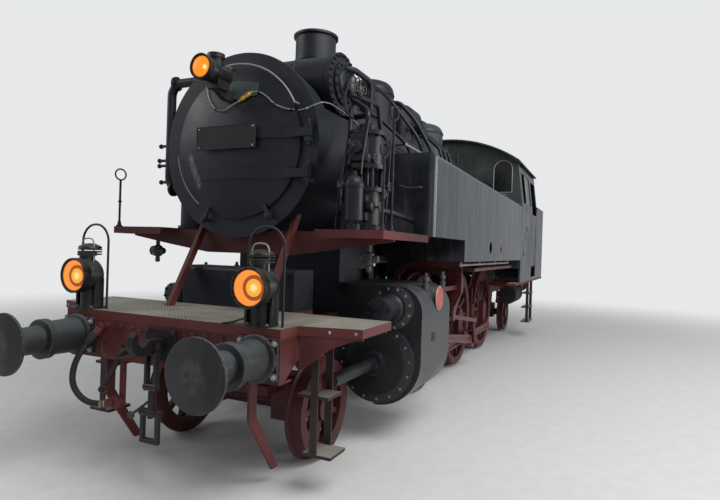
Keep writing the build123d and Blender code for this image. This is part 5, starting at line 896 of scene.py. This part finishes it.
# Platform: light rivets on the slanted front edge of each wing, and a deep plate behind it, drawn up outwards
WING_X = 5.39
WING_FALL = 0.255
fascia = [at(WING_X - (y - 1.045) * WING_FALL + 0.0003, side * y, 1.222) for side in BOTH
          for y in (1.27, 1.45)]
piece("platform_rivets", rivets(0.013, fascia, [(1, math.copysign(WING_FALL, p[1]), 0) for p in fascia]),
      "wire_light")
GUSSET = np.array([(1.062, 1.236), (1.062, 0.955), (1.09, 0.955), (1.27, 1.104), (1.494, 1.195),
                   (1.494, 1.236)])
gusset_x = WING_X - (GUSSET[:, 0] - 1.05) * (0.116 / 0.45) - 0.006
for side_name, side in SIDES:
    sheets = [np.stack([gusset_x - d, side * GUSSET[:, 0], RAIL + GUSSET[:, 1]], 1) for d in (0, 0.012)]
    piece(f"wing_gusset_{side_name}", outward(grid_shell(np.stack(sheets))), "frame_red")
    stem = at(4.5, side * 1.185, 1.729)
    piece(f"board_valve_{side_name}", [
        turned([(0.02, -0.06), (0.045, -0.045), (0.05, 0.0), (0.045, 0.045), (0.02, 0.06), (0.02, 0.235)],
               stem, Z, 20),
        turned([(0.028, -0.085), (0.034, -0.075), (0.034, 0.075), (0.028, 0.085)], stem, Y, 16),
        torus((stem[0] + 0.062, *stem[1:]), X, 0.042, 0.007),
        turned([(0.012, 0.03), (0.012, 0.065), (0, 0.067)], stem, X, 10),
        turned([(0.016, -0.115), (0.024, -0.105), (0.024, -0.075), (0.016, -0.05)], stem, Z, 6),
    ], "dull_metal")
cable = [mm(5646, 589, 1263), mm(5560, 600, 1262.5), mm(5440, 566, 1262.5), mm(5345, 553, 1263),
         mm(5200, 470, 1262.5)]
piece("platform_cable", tube(cable, 0.006, 0.05, 10), "greasy_black")

# Feedwater heater: the ends' bolts, bosses and bands, and its valves
for side_name, side in SIDES:
    axis = (0, side, 0)
    flange, cover = ((HEATER_X, side * y, HEATER_Z) for y in (0.7345, 0.7565))
    piece(f"heater_bolts_{side_name}", [
        bolts(0.013, 0.02, circle_of(24, 0.256, flange, axis), axis),
        bolts(0.011, 0.016, circle_of(14, 0.17, cover, axis), axis),
    ], "black_paint")
    piece(f"heater_trim_{side_name}", [
        turned([(0.12, 0), (0.125, 0.008), (0.11, 0.02), (0.05, 0.026), (0.045, 0.05), (0, 0.052)], cover,
               axis, 36),
        *[hoop(0.2655, 0.271, 0.003, 0.04, (HEATER_X, side * y, HEATER_Z), axis, 48) for y in (0.3, 0.62)],
    ], "smokebox_paint")
cluster = []
for place, s in (  # the place in millimetres and the valve's scale
        ((4150, 800, 3345), 1.0), ((4085, 850, 3290), 0.8), ((4225, 835, 3275), 0.7)):
    c = np.array(mm(*place))
    cluster += [
        turned([(0.03 * s, -0.06 * s), (0.042 * s, -0.03 * s), (0.042 * s, 0.03 * s), (0.025 * s, 0.06 * s)],
               c, Z, 16),
        rod(c, c + (0, 0.06 * s, 0), 0.014 * s, 8),
        torus(c + (0, 0.065 * s, 0), Y, 0.045 * s, 0.007 * s),
        rod(c - (0.09 * s, 0, 0.01), c + (0.09 * s, 0, -0.01), 0.017 * s),
    ]
piece("heater_valves", cluster, "dull_metal")


# Feed pump on the left board, places counted from the board's top
def on_board(x, y, z):
    """A place in metres, its height taken above the running board."""
    return (x, y, BOARD_Z + z)


PUMP = (4.49, 1.13)
VESSEL = (4.738, 1.14)
piece("feed_pump_bolts", [
    bolts(0.011, 0.016, circle_of(12, radius, on_board(*PUMP, z), Z), (0, 0, up)) for z, radius, up in (
        (0.365, 0.142, 1), (0.52, 0.15, -1), (0.8, 0.152, -1), (0.835, 0.11, 1), (0.04, 0.147, 1))
], "black_paint")
piece("feed_pump_chests", [
    cuboid(on_board(4.6, 1.06, 0.57), on_board(4.68, 1.2, 0.79), 0.008),
    turned([(0.05, 0), (0.055, 0.01), (0.05, 0.05), (0.03, 0.06)], on_board(4.68, 1.13, 0.68), X, 20),
    turned([(0.06, 0), (0.06, 0.24), (0.05, 0.25)], on_board(4.36, 1.13, 0.55), Z, 20),
    cuboid(on_board(4.6, 1.05, 0.08), on_board(4.67, 1.21, 0.3), 0.008),
    turned([(0.045, 0), (0.05, 0.008), (0.045, 0.05), (0.02, 0.06)], on_board(4.63, 1.21, 0.2), Y, 20),
], "black_paint")
PUMP_PIPES = [
    ([(4.49, 1.13, 0.9), (4.49, 1.13, 1.02), (4.35, 1.02, 1.1), (4.25, 0.86, 1.2)], 0.022, 0.08),
    ([(4.4, 1.2, 0.18), (4.3, 1.28, 0.18), (4.05, 1.3, 0.16), (3.72, 1.28, 0.14)], 0.026, 0.08),
    ([(4.63, 1.05, 0.2), (4.63, 0.96, 0.2), (4.55, 0.93, 0.45), (4.4, 0.92, 0.8), (4.26, 0.86, 1.14)], 0.02,
     0.1),
    ([(4.72, 1.13, 0.68), (4.76, 1.13, 0.68), (4.76, 1.05, 0.6), (4.7, 0.98, 0.3), (4.7, 0.96, 0)], 0.009,
     0.06),
    ([(4.56, 1.02, 0.95), (4.56, 0.95, 1.02), (4.45, 0.88, 1.18), (4.3, 0.84, 1.34)], 0.01, 0.06),
]
piece("feed_pump_pipes", [
    tube([on_board(*p) for p in points], radius, bend, 14) for points, radius, bend in PUMP_PIPES
], "black_paint")
piece("feed_pump_copper", [tube([on_board(*p) for p in points], 0.006, 0.05, 8) for points in (
    [(4.6, 1.2, 0.86), (4.66, 1.22, 0.9), (4.72, 1.2, 0.6), (4.74, 1.2, 0.45)],
    [(4.35, 1.2, 0.82), (4.25, 1.25, 0.84), (4.2, 1.22, 0.5), (4.2, 1.2, 0.1)])], "dull_metal")
piece("air_vessel_trim", [
    bolts(0.009, 0.012, circle_of(8, 0.068, on_board(*VESSEL, 0.05), Z, 0.2)),
    hoop(0.0785, 0.083, 0.004, 0.03, on_board(*VESSEL, 0.34), Z, 32),
    turned([(0.018, 0), (0.018, 0.03), (0.01, 0.034)], on_board(*VESSEL, 0.444), Z, 12),
], "black_paint")
valves = []
for place in ((4.56, 1.3, 0.2), (4.46, 1.29, 0.32), (4.7, 1.06, 0.38), (4.3, 1.27, 0.4), (4.6, 1.26, 0.6)):
    c = np.array(on_board(*place))
    valves += [
        rod(c - (0, 0.07, 0), c, 0.01, 8), torus(c, Y, 0.034, 0.006),
        *[rod(c - spoke, c + spoke, 0.005, 6)
          for spoke in (np.array((0.034, 0, 0)), np.array((0, 0, 0.034)))],
        turned([(0.022, -0.03), (0.028, 0), (0.022, 0.03)], c - (0, 0.07, 0), Z, 12),
    ]
piece("pump_handwheels", valves, "dull_metal")

# Poles on the boards, with an eye at the top: along, sideways, eye's and collar's height above the rail
POLES = ((4.765, 1.405, 2.588, 2.2), (4.58, 1.405, 2.915, 2.4), (4.78, -1.425, 2.478, 2.2))
poles = []
for x, y, eye, _ in POLES:
    poles += [
        rod((x, y, BOARD_Z), at(x, y, eye - 0.058), 0.0105),
        torus(at(x, y, eye), (0.25, 1, 0), 0.054, 0.008, 28),
        turned([(0.03, 0), (0.03, 0.012), (0.018, 0.02), (0.016, 0.05)], (x, y, BOARD_Z), Z, 16),
    ]
piece("board_poles", poles, "black_paint")
piece("pole_collars", [
    turned([(0.015, 0), (0.018, 0.01), (0.015, 0.02)], at(x, y, collar), Z, 12) for x, y, _, collar in POLES
], "black_paint")

# Exhaust pipe's cocks on the right, hand rails and pipes along the boiler
cocks = []
for z, reach in ((2.75, 0.075), (2.61, 0.09), (2.56, 0.09), (2.4, 0.06)):
    c = np.array(at(4.69, -0.914, z))
    tip = c - (0, reach, 0)
    cocks += [rod(c, tip, 0.014), turned([(0.02, -0.012), (0.024, 0), (0.02, 0.012)], tip, Y, 12)]
piece("exhaust_cocks", cocks, "black_paint")
BOILER_RAIL_Y = 0.872
BOILER_RAIL_Z = 3.02
KNOBS_X = (2.86, 1.4, 0.2, -0.9, -1.8)
RAIL_RUNS = ((2.898, 1.422), (1.378, 0.222), (0.178, -0.878), (-0.922, -1.778))
LINE_RUNS = [
    ([(4.06, 0.838, 2.986), (2.6, 0.885, 2.92), (CAB_FRONT_X, 0.885, 2.9)], 0.008, 0.1, 8),
    ([(4.06, 0.835, 2.95), (2.5, 0.89, 2.86), (CAB_FRONT_X, 0.9, 2.84)], 0.013, 0.1, 10),
    ([(0.4, 1.02, 2.788), (-0.35, 1.02, 2.79), (CAB_FRONT_X, 0.97, 2.79)], 0.019, 0.08, 10),
    ([(CAB_FRONT_X, 0.93, 3.12), (-1.2, 0.91, 3.12), (-0.9, 0.8, 3.16)], 0.017, 0.1, 10),
]
knob = [(0.0151, -0.022), (0.021, -0.012), (0.023, 0.0), (0.021, 0.012), (0.0151, 0.022)]
for side_name, side in SIDES:
    y = side * BOILER_RAIL_Y
    piece(f"boiler_rail_finish_{side_name}", [
        *[rod(at(a, y, BOILER_RAIL_Z), at(b, y, BOILER_RAIL_Z), 0.0156, 12) for a, b in RAIL_RUNS],
        *[turned(knob, at(x, y, BOILER_RAIL_Z), X, 12) for x in KNOBS_X],
    ], "wire_light")
    piece(f"boiler_lines_{side_name}", [
        tube([at(x, side * y, z) for x, y, z in points], radius, bend, count)
        for points, radius, bend, count in LINE_RUNS
    ], "black_paint")

# Sander valve, boiler bands, pipes down from the domes, rings on domes and chimney, lids
piece("sander_valve", [
    turned([(0.05, 0), (0.085, 0.02), (0.085, 0.12), (0.05, 0.15), (0.045, 0.19), (0, 0.195)],
           at(SAND_X + 0.1, 0.36, 3.58), (0, 0.5, 1), 24),
    turned([(0.035, 0), (0.055, 0.01), (0.055, 0.09), (0.02, 0.11)], at(SAND_X + 0.32, 0.36, 3.62),
           (0.3, 1, 0.2), 20),
    torus(at(SAND_X + 0.1, 0.45, 3.7), (0, 1, 0.3), 0.055, 0.009, 24),
], "bracket_grey")
piece("boiler_bands", [
    hoop(BOILER_R + 0.0005, BOILER_R + 0.0045, 0.003, 0.056, (x - 0.028, 0, BOILER_Z), X, 96)
    for x in (2.85, 2.35, 1.45, 0.3, -0.85, -1.75)
], "black_paint")
PIPE_FOOT_Z = TANK_TOP + 0.002
piece("dome_pipes", [
    tube([at(STEAM_X - 0.05, 0.31, 3.8), at(STEAM_X - 0.05, 0.42, 3.78), at(STEAM_X - 0.12, 0.62, 3.56),
          at(STEAM_X - 0.2, 0.86, 3.1), (STEAM_X - 0.2, 0.92, PIPE_FOOT_Z)], 0.03, 0.14, 14),
    tube([at(STEAM_X + 0.28, 0.1, 3.95), at(STEAM_X + 0.36, 0.18, 3.94), at(STEAM_X + 0.42, 0.45, 3.72),
          at(STEAM_X + 0.3, 0.83, 3.2), (STEAM_X + 0.25, 0.92, PIPE_FOOT_Z)], 0.022, 0.14, 12),
    tube([at(3.3, 0.5, 3.356), at(3.05, 0.62, 3.296), at(2.7, 0.83, 3.056), (2.6, 0.92, PIPE_FOOT_Z)], 0.022,
         0.12,
         12),
], "black_paint")
piece("dome_rings", [
    hoop(STEAM_R + 0.001, STEAM_R + 0.01, 0.004, 0.034, at(STEAM_X, 0, 3.88)),
    hoop(0.331, 0.34, 0.004, 0.034, at(REAR_DOME_X, 0, 3.84)),
    hoop(0.2225, 0.2285, 0.005, 0.035, at(CHIMNEY_X, 0, 3.84)),
], "black_paint")
piece("sand_lids", [
    turned([(0.13, 0), (0.13, 0.02), (0.1, 0.045), (0, 0.05)], at(SAND_X + dx, 0, 4.0005), Z, 32)
    for dx in (-0.17, 0.17)
], "black_paint")

# Cylinders: cover bolts, the valve chest's nose, a plain round plate, nipples and a flap
FLAP = [(3.5, RAIL + 0.94), (3.6, RAIL + 0.94), (3.6, RAIL + 1.02), (3.5, RAIL + 1.02)]
for side_name, side in SIDES:
    axis = (0, side, 0)
    heads = np.concatenate([circle_of(16, 0.342, (3.9605, side * CYLINDER_Y, AXLE_Z), X, 0.1),
                            circle_of(12, 0.178, (3.9555, side * VALVE_Y, VALVE_Z), X, 0.2)])
    piece(f"cover_bolts_{side_name}", bolts(0.014, 0.02, heads, X), "worn_steel")
    nose = [(0.135, 0.0005), (0.135, 0.03), (0.118, 0.05), (0.112, 0.24), (0.12, 0.25), (0.12, 0.285),
            (0.1, 0.3),
            (0.0, 0.305)]
    piece(f"valve_nose_{side_name}", [
        turned(nose, (3.98, side * VALVE_Y, VALVE_Z), X, 40),
        bolts(0.01, 0.014, circle_of(8, 0.098, (4.2805, side * VALVE_Y, VALVE_Z), X, 0.2), X),
    ], "smokebox_paint")
    plate, mark, rim = (at(3.405, side * y, 1.346) for y in (1.4805, 1.4885, 1.486))
    piece(f"round_plate_{side_name}", [
        turned([(0.122, 0), (0.122, 0.005), (0.116, 0.008), (0, 0.008)], plate, axis, 40),
        torus(mark, axis, 0.085, 0.003, 36, 6),
    ], "plate_red")
    piece(f"round_plate_edge_{side_name}", torus(rim, axis, 0.12, 0.004, 40), "wire_light")
    nipple = [(0.03, -0.03), (0.034, 0.03), (0.022, 0.035), (0.022, 0.06), (0.034, 0.062), (0.034, 0.1),
              (0.018, 0.105), (0.018, 0.14)]
    piece(f"cylinder_nipples_{side_name}",
          [turned(nipple, at(x, side * 1.38, 1.455), Z, 16) for x in (3.54, 2.95)],
          "dull_metal")
    piece(f"cylinder_flap_{side_name}", slab(FLAP, "y", *sorted((side * 1.4802, side * 1.4865)), 0.002),
          "greasy_black")

# Tanks: a handle on the front and a pipe under the outer edge
HANDLE = ((3.7005, 1.138, 2.441), (3.735, 1.14, 2.441), (3.74, 1.25, 2.414), (3.735, 1.363, 2.422),
          (3.7005, 1.365, 2.422))
TANK_PIPE_Y = 1.4
TANK_PIPE_Z = 1.655
for side_name, side in SIDES:
    piece(f"tank_handle_{side_name}", tube([at(x, side * y, z) for x, y, z in HANDLE], 0.008, 0.03, 10),
          "dull_metal")
    y = side * TANK_PIPE_Y
    piece(f"tank_pipe_{side_name}", [
        rod(at(2.3, y, TANK_PIPE_Z), at(-1.12, y, TANK_PIPE_Z), 0.014, 12),
        *[rod(at(x, y, 1.66), at(x, y, 1.7005), 0.01, 8) for x in (2.25, 1.2, 0.1, -1.0)],
    ], "wire_light")

# Cab: dark panes in the windows, their dark colour a painted shade of the cab inside, with light rims on the
# front ones and a bar in each side window
LEAN = (1.5 - 1.4) / (3.575 - 2.76)
SIDE_WINDOW_Z = (2.8205, 3.3995)
ARCH = [(1.125 + 0.1745 * math.cos(a), 3.43 + 0.1745 * math.sin(a)) for a in np.linspace(math.pi, 0, 13)]
FRONT_PANE = [(0.9505, 2.9905), *ARCH, (1.2995, 2.9905)]
BACK_PANE = [(0.701, 3.051), (1.149, 3.051), (1.149, 3.499), (0.701, 3.499)]


def on_side(x, side, z, inwards):
    """A place on the cab's leaning side wall, moved inwards from its outer face."""
    return at(x, side * (SIDE_Y - (z - 2.76) * LEAN - inwards), z)


for side_name, side in SIDES:
    front, back = ([(side * y, RAIL + z) for y, z in outline] for outline in (FRONT_PANE, BACK_PANE))
    piece(f"cab_front_pane_{side_name}", slab(front, "x", -1.921, -1.914), "pane")
    rim = [(-1.8955, y, z) for y, z in front]
    piece(f"cab_front_rim_{side_name}", tube([*rim, rim[0]], 0.009, 0.02, 8), "wire_light")
    piece(f"cab_back_pane_{side_name}", slab(back, "x", -4.238, -4.231), "pane")
    low, high = SIDE_WINDOW_Z
    inner = np.array([on_side(x, side, z, 0.016)
                      for x, z in ((-3.2595, low), (-3.2595, high), (-2.7, high), (-2.7, low))])
    sheets = [inner, inner + (0, side * 0.006, 0)]
    piece(f"cab_side_pane_{side_name}", outward(grid_shell(np.stack(sheets))), "pane")
    piece(f"cab_side_bar_{side_name}", rod(*[on_side(-2.7, side, z, 0.014) for z in SIDE_WINDOW_Z], 0.012),
          "wire_light")


# Stage: pale floor, pale surround and soft lamps
def soft_lamp(name, place, target, size, power):
    """A rectangular lamp at place, turned to shine on target."""
    data = bpy.data.lights.new(name, "AREA")
    data.shape = "RECTANGLE"
    data.size, data.size_y = size
    data.energy = power
    lamp = linked(name, data)
    lamp.location = place
    lamp.rotation_euler = (Vector(target) - Vector(place)).to_track_quat("-Z", "Y").to_euler()


def set_stage(reach=90.0, fade_from=6.3, fade_to=16.0):
    """A flat floor that turns transparent between two distances, an even surround and three soft lamps."""
    floor = bpy.data.meshes.new("floor")
    corners = [(-reach, -reach, 0), (reach, -reach, 0), (reach, reach, 0), (-reach, reach, 0)]
    floor.from_pydata(corners, [], [(0, 1, 2, 3)])
    ground = Finish("floor", (0.62, 0.62, 0.61), rough=0.75, specular=0.2)
    grain = ground.band(ground.noise(6.0, 4.0), 0.3, 0.7)
    floor.materials.append(ground.done(ground.blend(grain, (0.7, 0.7, 0.69), (0.74, 0.74, 0.73))))
    fade = ground.add("MixShader")
    for socket, source in zip(fade.inputs, (
            ground.band(ground.vectors("LENGTH", ground.place), fade_from, fade_to),
            ground.shader.outputs["BSDF"],
            ground.add("BsdfTransparent").outputs["BSDF"])):
        ground.feed(socket, source)
    ground.feed(ground.tree.nodes["Material Output"].inputs["Surface"], fade.outputs["Shader"])
    made = linked("floor", floor)
    world = bpy.data.worlds.new("surround")
    bpy.context.scene.world = world
    world.use_nodes = True
    tree = world.node_tree
    tree.nodes.clear()
    out = tree.nodes.new("ShaderNodeOutputWorld")
    mix = tree.nodes.new("ShaderNodeMixShader")
    tree.links.new(tree.nodes.new("ShaderNodeLightPath").outputs["Is Camera Ray"], mix.inputs[0])
    # What lights the engine, then what the camera sees behind it
    for number, colour, strength in ((1, (0.93, 0.96, 1.0, 1), 0.36), (2, (0.8, 0.81, 0.82, 1), 1.0)):
        surround = tree.nodes.new("ShaderNodeBackground")
        surround.inputs["Color"].default_value = colour
        surround.inputs["Strength"].default_value = strength
        tree.links.new(surround.outputs["Background"], mix.inputs[number])
    tree.links.new(mix.outputs["Shader"], out.inputs["Surface"])
    soft_lamp("lamp_high", (6.0, 7.0, 9.5), (1.5, 0, 1.6), (9, 5), 860)
    soft_lamp("lamp_side", (-1.0, 13.0, 4.0), (0, 0, 1.8), (13, 4), 620)
    soft_lamp("lamp_front", (9.0, -10.5, 8.0), (3.0, 0, 1.8), (9, 5), 300)


set_stage()
